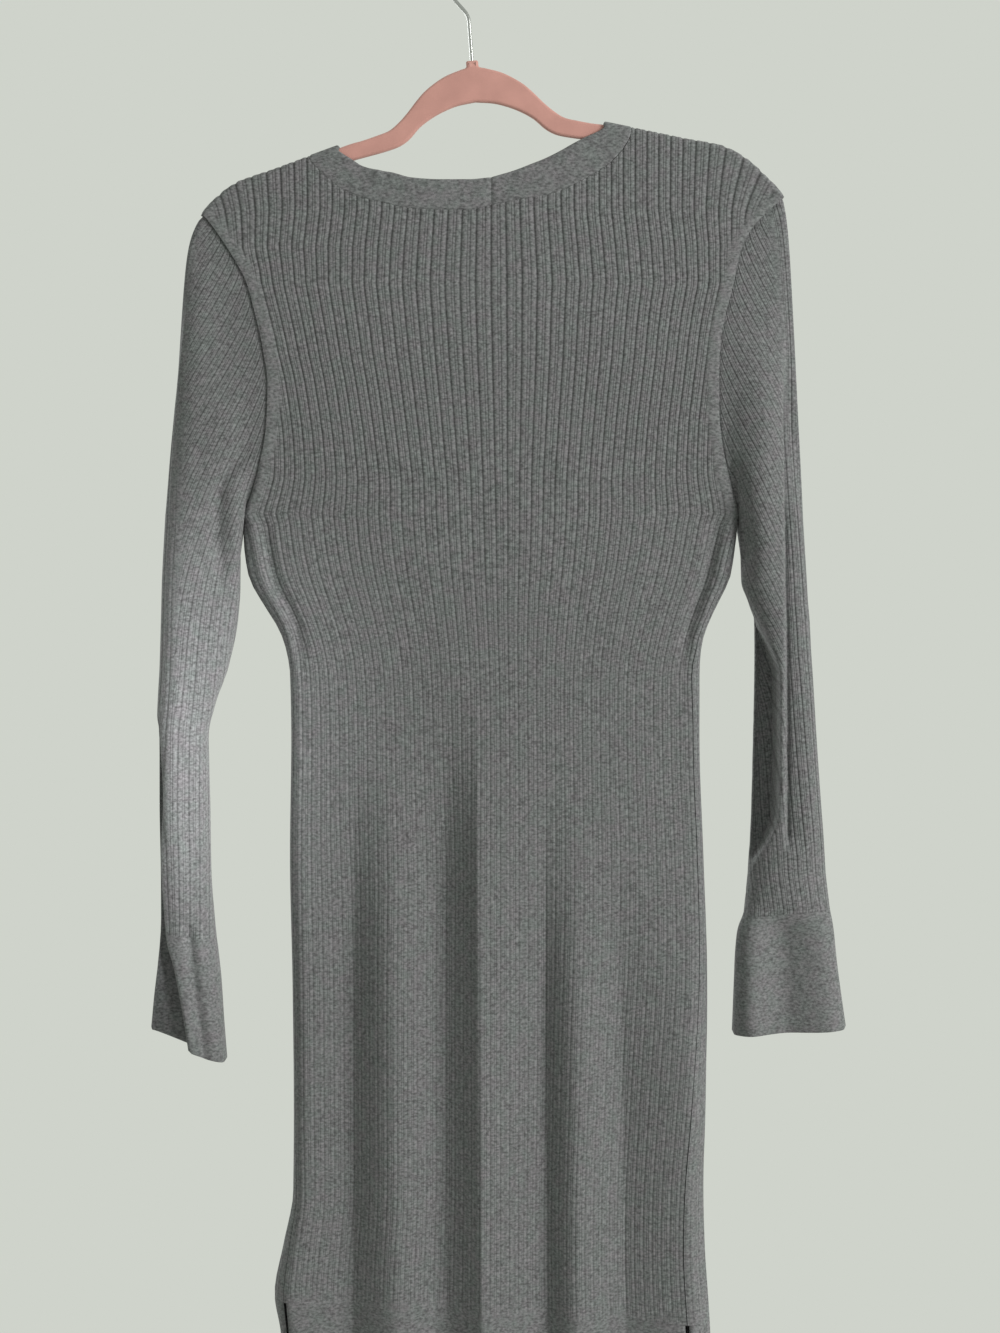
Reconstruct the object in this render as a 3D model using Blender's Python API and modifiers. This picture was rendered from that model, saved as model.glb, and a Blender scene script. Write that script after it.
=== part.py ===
"""A long-sleeved rib-knit dress, hung by its shoulders on a slim flocked hanger.

Lengths are in millimetres, and a mesh is scaled to metres when it is made. X runs along the hanger,
-Y is the side with the dress's back, and +Z is up. The origin is the point inside the top of the
hook that rests on a rail. Left and right are as seen from the back, which is also how they are worn.
"""

import math

import bmesh
import bpy
import numpy as np

MM = 0.001

# Cloth
RIB_WALL = 1.6
PLAIN_WALL = 1.8
SEAM_GAP = 0.3
BENT_GAP = 0.8  # where a seam lies along a bend
ARMPIT_GAP = 2.2  # more of it at the armpit, where sleeve and side fold together

# Hanger and hook
HANGER_THICK = 5.5
HANGER_EDGE = 2.3  # rounding of its edges
ARM_HIGH = 13.0
TAB_HALF = 4.7
TILT = math.radians(4.3)
WIRE = 2.8
HOOK_RADIUS = 21.0
HOOK_LEAN = math.radians(37.3)
STEM = 35.0
STEM_SEAT = 7.0
CLOTH_REST = 0.9  # between the hanger and the cloth on it
TIP_SLACK = 1.6  # more of it towards the tips, which slope away

# Widths that the cloth's grids share
ROLL = HANGER_THICK / 2 + CLOTH_REST + RIB_WALL / 2  # radius of the cloth's bend over the hanger
ROLL_LENGTH = ROLL * math.pi / 2
CENTRE = 20.0  # centre back and the point of the V
ARMPIT = -438.0
HALF_WIDTH = 160.0
LEFT_TIP = -203.0
RIGHT_TIP = 245.0
HEM_BAND = 92.0

# Grids. Columns across a panel: left shoulder, left and right half of the neck, right shoulder
PANEL_COLUMNS = (5, 7, 7, 6)
EDGE_STEPS = (2, 6, 12)  # the columns nearest a side seam, by distance from it
CHEST_ROWS = 9
SKIRT_ROWS = 12
ROLL_ROWS = 3
CAP_ROWS = 7
SLEEVE_ROWS = 9


def table(names, *rows):
    """Name the columns of a short table."""
    return dict(zip(names.split(), np.array(rows, float).T))


# The hanger's own outline, outwards and down from the top of its neck
HUMP_TOP = table(
    "out down",
    (9, 6.3), (21, 10.3), (37, 20), (45, 27.7), (52.3, 36), (60, 43.5), (68, 49.2), (77, 52), (90, 55.4),
)
HUMP_BOTTOM = table(
    "out down",
    (0, 32), (13, 33.7), (25, 37.5), (35, 42.3), (44, 48.3), (53, 57.2), (61, 61.8), (72, 64.8), (84, 67.2),
)
ARM_TIP = table("out down", (203, 94.5), (207.5, 100.5), (209, 105.5), (206.5, 109), (201, 107.5), (193, 99.5))

# The line along which the cloth's outer side bends over the arms, in the hanger's own frame
SHOULDER = table(
    "out down",
    (96, 54), (112, 58.5), (128, 63), (144, 67.6), (160, 72.2), (174, 75.6), (186, 79),
    (196, 84.2), (205, 91), (213, 99), (222, 109.5), (232, 123.5), (240, 137),
)

# Outline and depth of the body, from the armpits down. deep and edge are half depths in the middle
# and near the sides, and a turn is how far the front reaches round the side onto the back.
BODY = table(
    "height left right deep edge turn_left turn_right",
    (-438, -170.3, 210.2, 13, 6, 0, 0),
    (-462, -169.3, 207.0, 13, 6, 5, 4),
    (-485, -166.0, 203.5, 13, 6, 6, 6),
    (-505, -156.0, 194.5, 14, 6, 6, 5),
    (-523, -144.5, 186.0, 14, 7, 5, 4),
    (-540, -137.5, 181.0, 14, 7, 3, 4),
    (-560, -134.0, 179.5, 15, 7, 2, 6),
    (-610, -133.0, 179.5, 16, 7, 2, 5),
    (-700, -134.0, 182.5, 17, 8, 2, 5),
    (-800, -132.0, 185.5, 18, 9, 2, 7),
    (-900, -131.0, 184.0, 19, 9, 2, 12),
    (-958, -131.5, 182.5, 19, 9, 3, 15),
    (-1000, -139.0, 183.5, 19, 9, 5, 17),
    (-1037, -146.0, 186.0, 19, 9, 8, 18),
    (-1070, -141.0, 188.0, 19, 9, 5, 18),
    (-1155, -139.0, 190.0, 19, 9, 3, 17),
)
ARMHOLE_LEFT = table(
    "height across",
    (-207, -203), (-213, -197.5), (-229, -186), (-245, -176), (-259, -168.5), (-281, -162),
    (-311, -155), (-340, -151), (-370, -152), (-399, -156.5), (-425, -164), (-438, -170.3),
)
ARMHOLE_RIGHT = table(
    "height across",
    (-195, 245), (-206, 232.5), (-219, 220.5), (-237, 211.5), (-266, 205), (-288, 199),
    (-311, 195.5), (-332, 194.5), (-360, 194.5), (-389, 197.5), (-415, 203), (-438, 210.2),
)

# Folds of the skirt, from left to right: where each crest or trough lies at the waist and at the
# hem, how far it stands out there, and the heights at which it begins and is full
BACK_FOLDS = table(
    "high low rise begins full",
    (-131, -138, 3, -620, -900),
    (-84, -84, -7, -610, -860),
    (-62, -53, 6, -610, -860),
    (-14, -14, -8, -570, -760),
    (7, 12, 8, -570, -760),
    (56, 58, -7, -650, -900),
    (86, 82, 6, -650, -900),
    (117, 122, -6, -680, -920),
    (170, 172, 5, -680, -920),
)
FRONT_FOLDS = table(
    "high low rise begins full",
    (-131, -138, 0, -620, -900),
    (-96, -100, 6, -640, -900),
    (-60, -66, -6, -640, -900),
    (-22, -20, 7, -600, -840),
    (22, 26, -7, -600, -840),
    (60, 66, 7, -620, -880),
    (98, 104, -5, -660, -920),
    (140, 142, 6, -660, -920),
    (178, 182, 0, -680, -920),
)

# Seam (on the panel) and free edge of the neckband, from the start of the bend over the hanger to
# the centre back, or to the point of the V
NECK_BACK_LEFT = table(
    "seam_x seam_z edge_x edge_z",
    (-119, -165.5, -97, -157.5), (-113, -172, -93, -160.5), (-104, -181, -87, -164.5),
    (-93, -189.5, -79, -170), (-80, -194.5, -69, -173), (-63, -199, -56, -175.5),
    (-45, -203, -41, -179.5), (-20, -204.5, -19, -181), (4, -204.5, 3, -181), (20, -201, 20, -179.5),
)
NECK_BACK_RIGHT = table(
    "seam_x seam_z edge_x edge_z",
    (127.5, -147, 106.5, -139.5), (124, -154, 103.5, -142), (118, -162, 99, -144.5),
    (109, -170.5, 92, -148), (98, -177.5, 83, -153), (85, -184.5, 72, -159.5), (70, -191, 60, -165.5),
    (58, -194, 50, -169.5), (42, -196.5, 37, -174.5), (20, -201, 20, -179.5),
)
NECK_FRONT_LEFT = table(
    "seam_x seam_z edge_x edge_z",
    (-119, -165.5, -97, -157.5), (-114, -180, -91, -170), (-95, -211, -70, -199),
    (-62, -252, -40, -236), (-22, -302, -8, -276), (20, -352, 20, -312),
)
NECK_FRONT_RIGHT = table(
    "seam_x seam_z edge_x edge_z",
    (127.5, -147, 106.5, -139.5), (123, -168, 100.5, -158), (108, -205, 84, -193),
    (82, -250, 63, -234), (52, -301, 43, -275), (20, -352, 20, -312),
)

# Sleeves with their cuffs: the outline's two edges and their heights, the half depth, and the
# place and strength of the step where the side on the left is sunk behind the rest
SLEEVE_LEFT = table(
    "high_left high_right left right deep step sunk",
    (-440, -470, -226.5, -173.9, 18, -232, 0),
    (-492, -496, -229, -174.2, 20, -232, 0),
    (-517, -517, -229.5, -175.6, 21, -232, 0),
    (-554, -554, -230.5, -183, 22, -232, 0),
    (-586, -586, -233, -194, 22, -229, 0.2),
    (-611, -611, -235, -198.5, 23, -228.5, 0.6),
    (-658, -658, -235, -197.5, 23, -228, 0.8),
    (-715, -716, -234, -196.5, 23, -230, 0.7),
    (-758, -764, -233.8, -192.5, 22, -227.5, 0.8),
    (-782, -797, -235.5, -189, 22, -220, 1),
    (-808, -827, -238.5, -187, 23, -214, 1),
    (-835, -859, -241, -184.5, 24, -209, 1),
)
SLEEVE_RIGHT = table(
    "high_left high_right left right deep step sunk",
    (-470, -440, 212.9, 259.5, 18, 205, 0),
    (-490, -486, 213.6, 262, 20, 209, 0),
    (-506, -506, 219.5, 263, 21, 218, 0.4),
    (-520, -520, 223.5, 264, 22, 226, 1),
    (-543, -543, 223.8, 265, 22, 235, 1),
    (-566, -566, 223.6, 266.5, 22, 240, 1),
    (-615, -615, 222.6, 269.5, 22, 240, 1),
    (-665, -665, 221.3, 273, 22, 239, 1),
    (-684, -684, 220.5, 274.5, 21, 234, 1),
    (-700, -700, 219.4, 275.5, 20, 225, 0.8),
    (-712, -712, 218.6, 276.2, 19, 219, 0),
    (-747, -741, 215, 279.5, 18, 209, 0),
    (-776, -776, 209.3, 283.3, 16, 203, 0),
    (-838, -834, 206.3, 292, 14, 200, 0),
)
CUFF_SEAM = {"left": 8, "right": 11}  # the table row at which the cuff begins


def curve_at(where, places, values):
    """Read a smooth curve through the points of a table, one that never overshoots them."""
    order = np.argsort(places)
    p, v = places[order], values[order]
    slopes = np.diff(v) / np.diff(p)
    product = slopes[:-1] * slopes[1:]
    total = slopes[:-1] + slopes[1:]
    middle = np.where(product > 0, 2 * product / np.where(total == 0, 1, total), 0)
    tangent = np.concatenate(([slopes[0]], middle, [slopes[-1]]))
    w = np.clip(where, p[0], p[-1])
    i = np.clip(np.searchsorted(p, w) - 1, 0, len(p) - 2)
    span = p[i + 1] - p[i]
    t = (w - p[i]) / span
    start = (1 + 2 * t) * (1 - t) ** 2 * v[i] + t * (1 - t) ** 2 * span * tangent[i]
    end = t * t * (3 - 2 * t) * v[i + 1] - t * t * (1 - t) * span * tangent[i + 1]
    return start + end


def ease(low, high, value):
    """Rise from 0 at low to 1 at high, flat at both ends."""
    t = np.clip((value - low) / (high - low), 0, 1)
    return t * t * (3 - 2 * t)


def along(rows, line, count):
    """Spread count + 1 points evenly by length along a line of a table."""
    x, z = rows[line + "_x"], rows[line + "_z"]
    length = np.concatenate(([0], np.cumsum(np.hypot(np.diff(x), np.diff(z)))))
    at = np.linspace(0, length[-1], count + 1)
    return np.stack((curve_at(at, length, x), curve_at(at, length, z)), axis=-1)


# ---------------------------------------------------------------- hanger


def from_hanger(out, down):
    """Turn a place in the hanger's own frame into X and Z: it swings about the hook's centre."""
    centre = -(HOOK_RADIUS - WIRE / 2)
    reach = STEM + HOOK_RADIUS / math.sin(HOOK_LEAN) + np.asarray(down, float)
    out = np.asarray(out, float)
    return out * math.cos(TILT) + reach * math.sin(TILT), centre + out * math.sin(TILT) - reach * math.cos(TILT)


def ridge(x):
    """Height of the cloth's middle surface where it bends over the hanger, at X."""
    left_x, left_z = from_hanger(-SHOULDER["out"][::-1], SHOULDER["down"][::-1] + RIB_WALL / 2)
    right_x, right_z = from_hanger(SHOULDER["out"], SHOULDER["down"] + RIB_WALL / 2)
    return np.interp(x, np.concatenate((left_x, right_x)), np.concatenate((left_z, right_z)))


def hanger_outline():
    """One half of the hanger's outline: tab, hump, arm and rounded tip, then back underneath."""
    arm = SHOULDER["out"] < 200
    arm_out = SHOULDER["out"][arm]
    arm_top = SHOULDER["down"][arm] + RIB_WALL + CLOTH_REST + TIP_SLACK * ease(110, 185, arm_out)
    top = np.concatenate((HUMP_TOP["out"], arm_out)), np.concatenate((HUMP_TOP["down"], arm_top))
    bottom = (
        np.concatenate((HUMP_BOTTOM["out"], arm_out[:-1])),
        np.concatenate((HUMP_BOTTOM["down"], arm_top[:-1] + ARM_HIGH)),
    )
    top_out = np.linspace(HUMP_TOP["out"][0], arm_out[-1], 24)
    bottom_out = np.linspace(0, arm_out[-2], 20)[::-1]
    out = np.concatenate(([0, TAB_HALF, TAB_HALF], top_out, ARM_TIP["out"], bottom_out))
    down = np.concatenate(
        ([0, 0, 5.6], curve_at(top_out, *top), ARM_TIP["down"], curve_at(bottom_out, *bottom))
    )
    return out, down


# ---------------------------------------------------------------- body of the dress


def folds(rows, x, z):
    """Stand-out of the skirt's folds: each crest passes to the next trough in half a cosine."""
    drop = np.clip((z + 580) / (-1130 + 580), 0, 1)
    height = [
        rise * ease(begins, full, z)
        for rise, begins, full in zip(rows["rise"], rows["begins"], rows["full"])
    ]
    place = [high + (low - high) * drop for high, low in zip(rows["high"], rows["low"])]
    total = height[0]
    for a, b, at_a, at_b in zip(height, height[1:], place, place[1:]):
        total = total + (b - a) * (0.5 - 0.5 * np.cos(np.pi * np.clip((x - at_a) / (at_b - at_a), 0, 1)))
    return total


def depth(x, z, inside, rows):
    """Half depth of the body: thin on the hanger, fuller below, and round at the side edges.

    inside is the distance from the nearer side. Above the armpits the sides open into armholes.
    """
    deep = curve_at(z, np.append(BODY["height"], -140), np.append(BODY["deep"], 7))
    edge = curve_at(z, BODY["height"], BODY["edge"])
    below = np.clip(ridge(x) - ROLL - z, 0, None)
    body = ROLL + (deep - ROLL) * ease(0, 170, below)
    corner = 1 - np.clip(inside / edge, 0, 1)
    swell = 1 - (1 - np.clip(inside / HALF_WIDTH, 0, 1)) ** 2
    closed = (edge * np.sqrt(1 - corner**2) + (deep - edge) * swell) / deep
    opening = np.sqrt(np.clip((z - ARMPIT) / 45, 0, 1))
    return body * (closed + (1 - closed) * opening) + folds(rows, x, z) * ease(0, 14, inside)


def bend_over(x, z, half_depth):
    """Bend what reaches above the start of the roll over the hanger. Returns depth and height."""
    start = ridge(x) - ROLL
    angle = np.clip((z - start) / ROLL, 0, math.pi / 2)
    over = z > start
    return np.where(over, ROLL * np.cos(angle), half_depth), np.where(over, start + ROLL * np.sin(angle), z)


def section(z, side):
    """One side of the body's section below the armpits, finely: X, Y and its two limits in X."""
    left, right = (curve_at(z, BODY["height"], BODY[name]) for name in ("left", "right"))
    across = np.sin(np.linspace(-1, 1, 401) * math.pi / 2)
    x = (left + right) / 2 + across * (right - left) / 2
    inside = (1 - np.abs(across)) * (right - left) / 2
    rows = BACK_FOLDS if side < 0 else FRONT_FOLDS
    return x, side * depth(x, np.full_like(x, z), inside, rows), left, right


def panel_section(z, side, slit):
    """The stretch of a section that one panel covers, from its left side seam to its right one.

    The side seams lie a little round the edge, on the back. Below the seams, at the slits, each
    panel keeps to its own side.
    """
    x, y, left, right = section(z, -1)
    seam_left = left + curve_at(z, BODY["height"], BODY["turn_left"])
    seam_right = right - curve_at(z, BODY["height"], BODY["turn_right"])
    middle = (x > seam_left) & (x < seam_right)
    ends_y = np.interp((seam_left, seam_right), x, y)
    if side < 0:
        line_x = np.concatenate(([seam_left], x[middle], [seam_right]))
        line_y = np.concatenate(([ends_y[0]], y[middle], [ends_y[1]]))
    else:
        front_x, front_y, *_ = section(z, 1)
        round_left, round_right = x < seam_left, x > seam_right
        line_x = np.concatenate(
            ([seam_left], x[round_left][::-1], front_x[1:-1], x[round_right][::-1], [seam_right])
        )
        line_y = np.concatenate(
            ([ends_y[0]], y[round_left][::-1], front_y[1:-1], y[round_right][::-1], [ends_y[1]])
        )
    length = np.concatenate(([0], np.cumsum(np.hypot(np.diff(line_x), np.diff(line_y)))))
    near, far = np.array((0, *EDGE_STEPS)) + slit, np.array((*EDGE_STEPS[::-1], 0)) + slit
    inner = np.linspace(near[-1], length[-1] - far[0], sum(PANEL_COLUMNS) - 2 * len(EDGE_STEPS) + 1)
    at = np.concatenate((near[:-1], inner, length[-1] - far[1:]))
    return np.interp(at, length, line_x), np.interp(at, length, line_y)


def top_line(side):
    """The columns' places on the panel's top edge: X, and the height of the neck seam for those
    that end in it, or 0 for those that reach the shoulder."""
    halves = (NECK_BACK_LEFT, NECK_BACK_RIGHT)
    if side > 0:
        halves = (NECK_FRONT_LEFT, NECK_FRONT_RIGHT)
    left, right = (along(half, "seam", count) for half, count in zip(halves, PANEL_COLUMNS[1:3]))
    x = np.concatenate(
        (
            np.linspace(LEFT_TIP, left[0, 0], PANEL_COLUMNS[0], endpoint=False),
            left[:-1, 0],
            right[::-1, 0],
            np.linspace(right[0, 0], RIGHT_TIP, PANEL_COLUMNS[3] + 1)[1:],
        )
    )
    neck = np.concatenate((left[1:-1, 1], right[::-1, 1][:-1]))
    z = np.full_like(x, 0)
    z[PANEL_COLUMNS[0] + 1 : -PANEL_COLUMNS[3] - 1] = neck
    return x, z


def chest(side):
    """Grid of the panel above the armpits, bottom row first: it fans out from the armpits' level
    to the armholes, the shoulders and the neck. The last rows bend over the hanger."""
    top_x, neck = top_line(side)
    rows_flat = ROLL_LENGTH - BENT_GAP / 2
    bottom_x, bottom_y = panel_section(ARMPIT, side, BENT_GAP / 2)
    bottom_part = (bottom_x - bottom_x[0]) / (bottom_x[-1] - bottom_x[0])
    top_part = (top_x - top_x[0]) / (top_x[-1] - top_x[0])
    rows = [np.stack((bottom_x, bottom_y, np.full_like(bottom_x, ARMPIT)), axis=-1)]
    for number in range(1, CHEST_ROWS + ROLL_ROWS + 1):
        step = min(1, number / CHEST_ROWS)
        roll = max(0, number - CHEST_ROWS) / ROLL_ROWS * rows_flat
        part = bottom_part + (top_part - bottom_part) * ease(0, 1, step)
        x = top_x
        for _ in range(12):  # a column's height and its place across depend on each other
            shoulder = ridge(x) - ROLL
            top = np.where(neck < 0, neck - SEAM_GAP, shoulder)
            z = ARMPIT + step * (top - ARMPIT) + roll
            left = curve_at(z[0], ARMHOLE_LEFT["height"], ARMHOLE_LEFT["across"]) + SEAM_GAP / 2
            right = curve_at(z[-1], ARMHOLE_RIGHT["height"], ARMHOLE_RIGHT["across"]) - SEAM_GAP / 2
            x = (x + left + part * (right - left)) / 2
        inside = np.minimum(part, 1 - part) * (right - left)
        half = depth(x, z, inside, BACK_FOLDS if side < 0 else FRONT_FOLDS)
        y, z = bend_over(x, z, half)
        if roll:
            z[neck < 0] = np.nan  # the neck's columns end before the bend
        rows.append(np.stack((x, side * y, z), axis=-1))
    return rows


def band_line(part):
    """Height at which the hem band begins, which is a little lower on the right."""
    return -1041 - 16 * part


def skirt(side, highest, lowest, count, slit):
    """Rows of a panel between two heights, which are functions of the place across."""
    part = np.linspace(0, 1, sum(PANEL_COLUMNS) + 1)
    rows = []
    for step in np.linspace(0, 1, count + 1):
        z = lowest(part) + (highest(part) - lowest(part)) * step
        points = [panel_section(height, side, slit) for height in z]
        x = np.array([points[n][0][n] for n in range(len(z))])
        y = np.array([points[n][1][n] for n in range(len(z))])
        rows.append(np.stack((x, y, z), axis=-1))
    return rows


def panel_grid(side):
    """The whole panel, from the hem band up to the shoulders."""
    lower = skirt(side, lambda part: ARMPIT + 0 * part, band_line, SKIRT_ROWS, BENT_GAP / 2)
    return np.array(lower[:-1] + chest(side))


def hem_band_grid(side):
    """The plain band at the hem. Its ends are free, so it stops short of the other band's."""
    return np.array(
        skirt(
            side,
            lambda part: band_line(part) - BENT_GAP,
            lambda part: band_line(part) - HEM_BAND,
            2,
            1.5,
        )
    )


# ---------------------------------------------------------------- neckband


def band_strip(panel, rows, side, first, last):
    """One side's part of half the neckband, from the top of the hanger to the centre. Its outer
    edge is the panel's own edge moved on by the seam's gap, and its free edge is set beside it."""
    step = 1 if last > first else -1
    bend = panel[: -ROLL_ROWS - 2 : -1, first]
    seam = np.concatenate((bend, panel[-ROLL_ROWS - 1, first + step : last + step : step]))
    x, z = along(rows, "edge", abs(last - first)).T
    start = ridge(x[0]) - ROLL
    z = z + (start - z[0]) * np.linspace(1, 0, len(z)) ** 4
    x = np.concatenate((np.full(ROLL_ROWS, x[0]), x))
    rolled = np.linspace(ROLL_LENGTH - BENT_GAP / 2, 0, ROLL_ROWS + 1)
    z = np.concatenate((start + rolled[:-1], z))
    y, z = bend_over(x, z, depth(x, z, np.full_like(x, HALF_WIDTH), BACK_FOLDS if side < 0 else FRONT_FOLDS))
    edge = np.stack((x, side * y, z), axis=-1)
    width = np.linalg.norm(edge - seam, axis=1, keepdims=True)
    return seam + (edge - seam) * SEAM_GAP / width, edge


def half_band(panels, halves, first, last):
    """Grid of half the neckband: from the centre back over the hanger to the point of the V."""
    strips = [
        band_strip(panel, rows, side, first, last)
        for panel, rows, side in zip(panels, halves, (-1, 1))
    ]
    grid = np.array([np.concatenate((back[:0:-1], front)) for back, front in zip(*strips)])
    top = abs(last - first) + ROLL_ROWS
    grid[:, top, 1] = 0
    grid[:, (0, -1), 0] += math.copysign(SEAM_GAP / 2, first - last)
    return grid


# ---------------------------------------------------------------- sleeves


def ring(rows, at, outer, parts):
    """One ring of a sleeve at a table place: near side first, from the outer edge to the inner
    one, then the far side back. Where the left is sunk, the near side steps back behind it."""
    index = np.arange(len(rows["left"]), dtype=float)
    row = {name: curve_at(at, index, column) for name, column in rows.items()}
    angle = np.linspace(0, math.pi, 121)
    middle, half = (row["left"] + row["right"]) / 2, (row["right"] - row["left"]) / 2
    x = middle + outer * half * np.cos(angle)
    round_off = np.sin(angle) ** 0.8
    sunk = row["sunk"] * (1 - ease(row["step"] - 3, row["step"] + 1, x))
    near = -row["deep"] * round_off * (1 - sunk) + 5 * np.sin(angle) * sunk
    far = row["deep"] * round_off
    height = row["high_left"] + (x - row["left"]) / (2 * half) * (row["high_right"] - row["high_left"])
    points = []
    for line_x, line_y, line_z, share in (
        (x, near, height, parts[parts <= 0.5] * 2),
        (x[::-1], far[::-1], height[::-1], parts[parts > 0.5] * 2 - 1),
    ):
        length = np.concatenate(([0], np.cumsum(np.hypot(np.diff(line_x), np.diff(line_y)))))
        at_length = share * length[-1]
        points.append(
            np.stack([np.interp(at_length, length, line) for line in (line_x, line_y, line_z)], axis=-1)
        )
    return np.concatenate(points)


def armhole_loop(panels, column):
    """The armhole's seam along the panels' own edges: from the shoulder's tip down the back to
    the armpit, and up the front. Also each point's share of the way round."""
    back, front = (panel[SKIRT_ROWS:, column][::-1] for panel in panels)
    middle = (back + front) / 2
    loop = np.concatenate((middle[:1], back[1:-1], middle[-1:], front[-2:0:-1]))
    length = np.concatenate(([0], np.cumsum(np.linalg.norm(np.diff(back, axis=0), axis=1))))
    share = (length / length[-1] + np.linspace(0, 1, len(length))) / 4
    return loop, np.concatenate((share, 1 - share[-2:0:-1]))


def sleeve_grid(rows, panels, column, outer, jut, seam_row):
    """The sleeve. Its head runs from the armhole's loop to the first ring, going outwards faster
    than down, and rings follow to the cuff's seam. jut is the share of the way out that the head
    takes at once."""
    loop, parts = armhole_loop(panels, column)
    first = ring(rows, 0, outer, parts)
    gap = BENT_GAP * 0.8 + ARMPIT_GAP * ease(0.34, 0.48, np.minimum(parts, 1 - parts))
    start = loop + np.outer(gap, (outer, 0, 0))
    near = -np.sin(2 * np.pi * parts)
    grid = []
    for step in np.linspace(0, 1, CAP_ROWS, endpoint=False) ** 1.5:
        out = jut * (1 - math.exp(-step / 0.06)) + (1 - jut) * step
        share = np.array((out, ease(0, 1, step), step))
        points = start + (first - start) * share
        points[:, 1] += 5 * near * np.sin(np.pi * step)
        grid.append(points)
    for at in np.linspace(0, seam_row, SLEEVE_ROWS + 1):
        grid.append(ring(rows, at, outer, parts))
    return np.array(grid), parts


def cuff_grid(rows, outer, seam_row, parts):
    """The cuff: rings from just below the sleeve's end to the cuff's own edge."""
    last = len(rows["left"]) - 1
    grid = np.array([ring(rows, at, outer, parts) for at in np.linspace(seam_row, last, 4)])
    grid[0, :, 2] -= SEAM_GAP
    return grid


# ---------------------------------------------------------------- Blender objects


def material(name, colour, roughness, metallic=0.0):
    """A plain Principled BSDF material."""
    made = bpy.data.materials.new(name)
    made.use_nodes = True
    shader = made.node_tree.nodes["Principled BSDF"]
    shader.inputs["Base Color"].default_value = (*colour, 1)
    shader.inputs["Roughness"].default_value = roughness
    shader.inputs["Metallic"].default_value = metallic
    made.diffuse_color = (*colour, 1)
    return made


def collection(name):
    """A new collection in the scene."""
    made = bpy.data.collections.new(name)
    bpy.context.scene.collection.children.link(made)
    return made


def cloth(name, grid, wall, finish, home, closed=False):
    """A grid of points made a surface, and given its wall by Solidify. Where a point is missing,
    so are the faces round it."""
    there = ~np.isnan(grid[:, :, 2])
    number = np.where(there, np.cumsum(there).reshape(there.shape) - 1, -1)
    right = np.roll(number, -1, axis=1)
    if not closed:
        number, right = number[:, :-1], right[:, :-1]
    faces = np.stack((number[:-1], right[:-1], right[1:], number[1:]), axis=-1).reshape(-1, 4)
    faces = faces[faces.min(axis=1) >= 0]
    mesh = bpy.data.meshes.new(name)
    mesh.from_pydata((grid[there] * MM).tolist(), [], faces.tolist())
    mesh.shade_smooth()
    mesh.materials.append(finish)
    made = bpy.data.objects.new(name, mesh)
    home.objects.link(made)
    thick = made.modifiers.new("Wall", "SOLIDIFY")
    thick.thickness = wall * MM
    thick.offset = 0
    thick.use_even_offset = True
    return made


def hanger_body(finish, home, cutters):
    """The flocked hanger: its outline extruded, its edges rounded, and the stem's seat bored."""
    out, down = hanger_outline()
    x, z = from_hanger(np.concatenate((out, -out[-2:0:-1])), np.concatenate((down, down[-2:0:-1])))
    curve = bpy.data.curves.new("hanger_outline", "CURVE")
    curve.dimensions = "2D"
    curve.fill_mode = "BOTH"
    curve.extrude = HANGER_THICK / 2 * MM
    spline = curve.splines.new("POLY")
    spline.points.add(len(x) - 1)
    spline.points.foreach_set("co", np.stack((x * MM, z * MM, 0 * x, 0 * x + 1), axis=-1).ravel())
    spline.use_cyclic_u = True
    flat = bpy.data.objects.new("hanger_outline", curve)
    flat.rotation_euler = (math.pi / 2, 0, 0)
    home.objects.link(flat)
    bpy.context.view_layer.update()
    mesh = bpy.data.meshes.new_from_object(flat.evaluated_get(bpy.context.evaluated_depsgraph_get()))
    shape = bmesh.new()
    shape.from_mesh(mesh)
    bmesh.ops.remove_doubles(shape, verts=shape.verts, dist=0.00001)
    shape.to_mesh(mesh)
    shape.free()
    mesh.name = "hanger_body"
    mesh.materials.clear()
    mesh.materials.append(finish)
    body = bpy.data.objects.new("hanger_body", mesh)
    body.matrix_world = flat.matrix_world
    home.objects.link(body)
    bpy.data.objects.remove(flat)

    edge = body.modifiers.new("Rounded edges", "BEVEL")
    edge.width = HANGER_EDGE * MM
    edge.segments = 2
    edge.limit_method = "ANGLE"
    edge.angle_limit = math.radians(70)

    seat_x, seat_z = from_hanger(0, STEM_SEAT / 2 - 0.5)
    bpy.ops.mesh.primitive_cylinder_add(
        vertices=24,
        radius=(WIRE / 2 + SEAM_GAP) * MM,
        depth=(STEM_SEAT + 1 + 2 * SEAM_GAP) * MM,
        location=(seat_x * MM, 0, seat_z * MM),
        rotation=(0, -TILT, 0),
    )
    bore = bpy.context.object
    bore.name = "stem_bore"
    bore.hide_render = True
    bore.display_type = "WIRE"
    for owner in bore.users_collection:
        owner.objects.unlink(bore)
    cutters.objects.link(bore)
    cut = body.modifiers.new("Stem seat", "BOOLEAN")
    cut.operation = "DIFFERENCE"
    cut.solver = "EXACT"
    cut.object = bore


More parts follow.
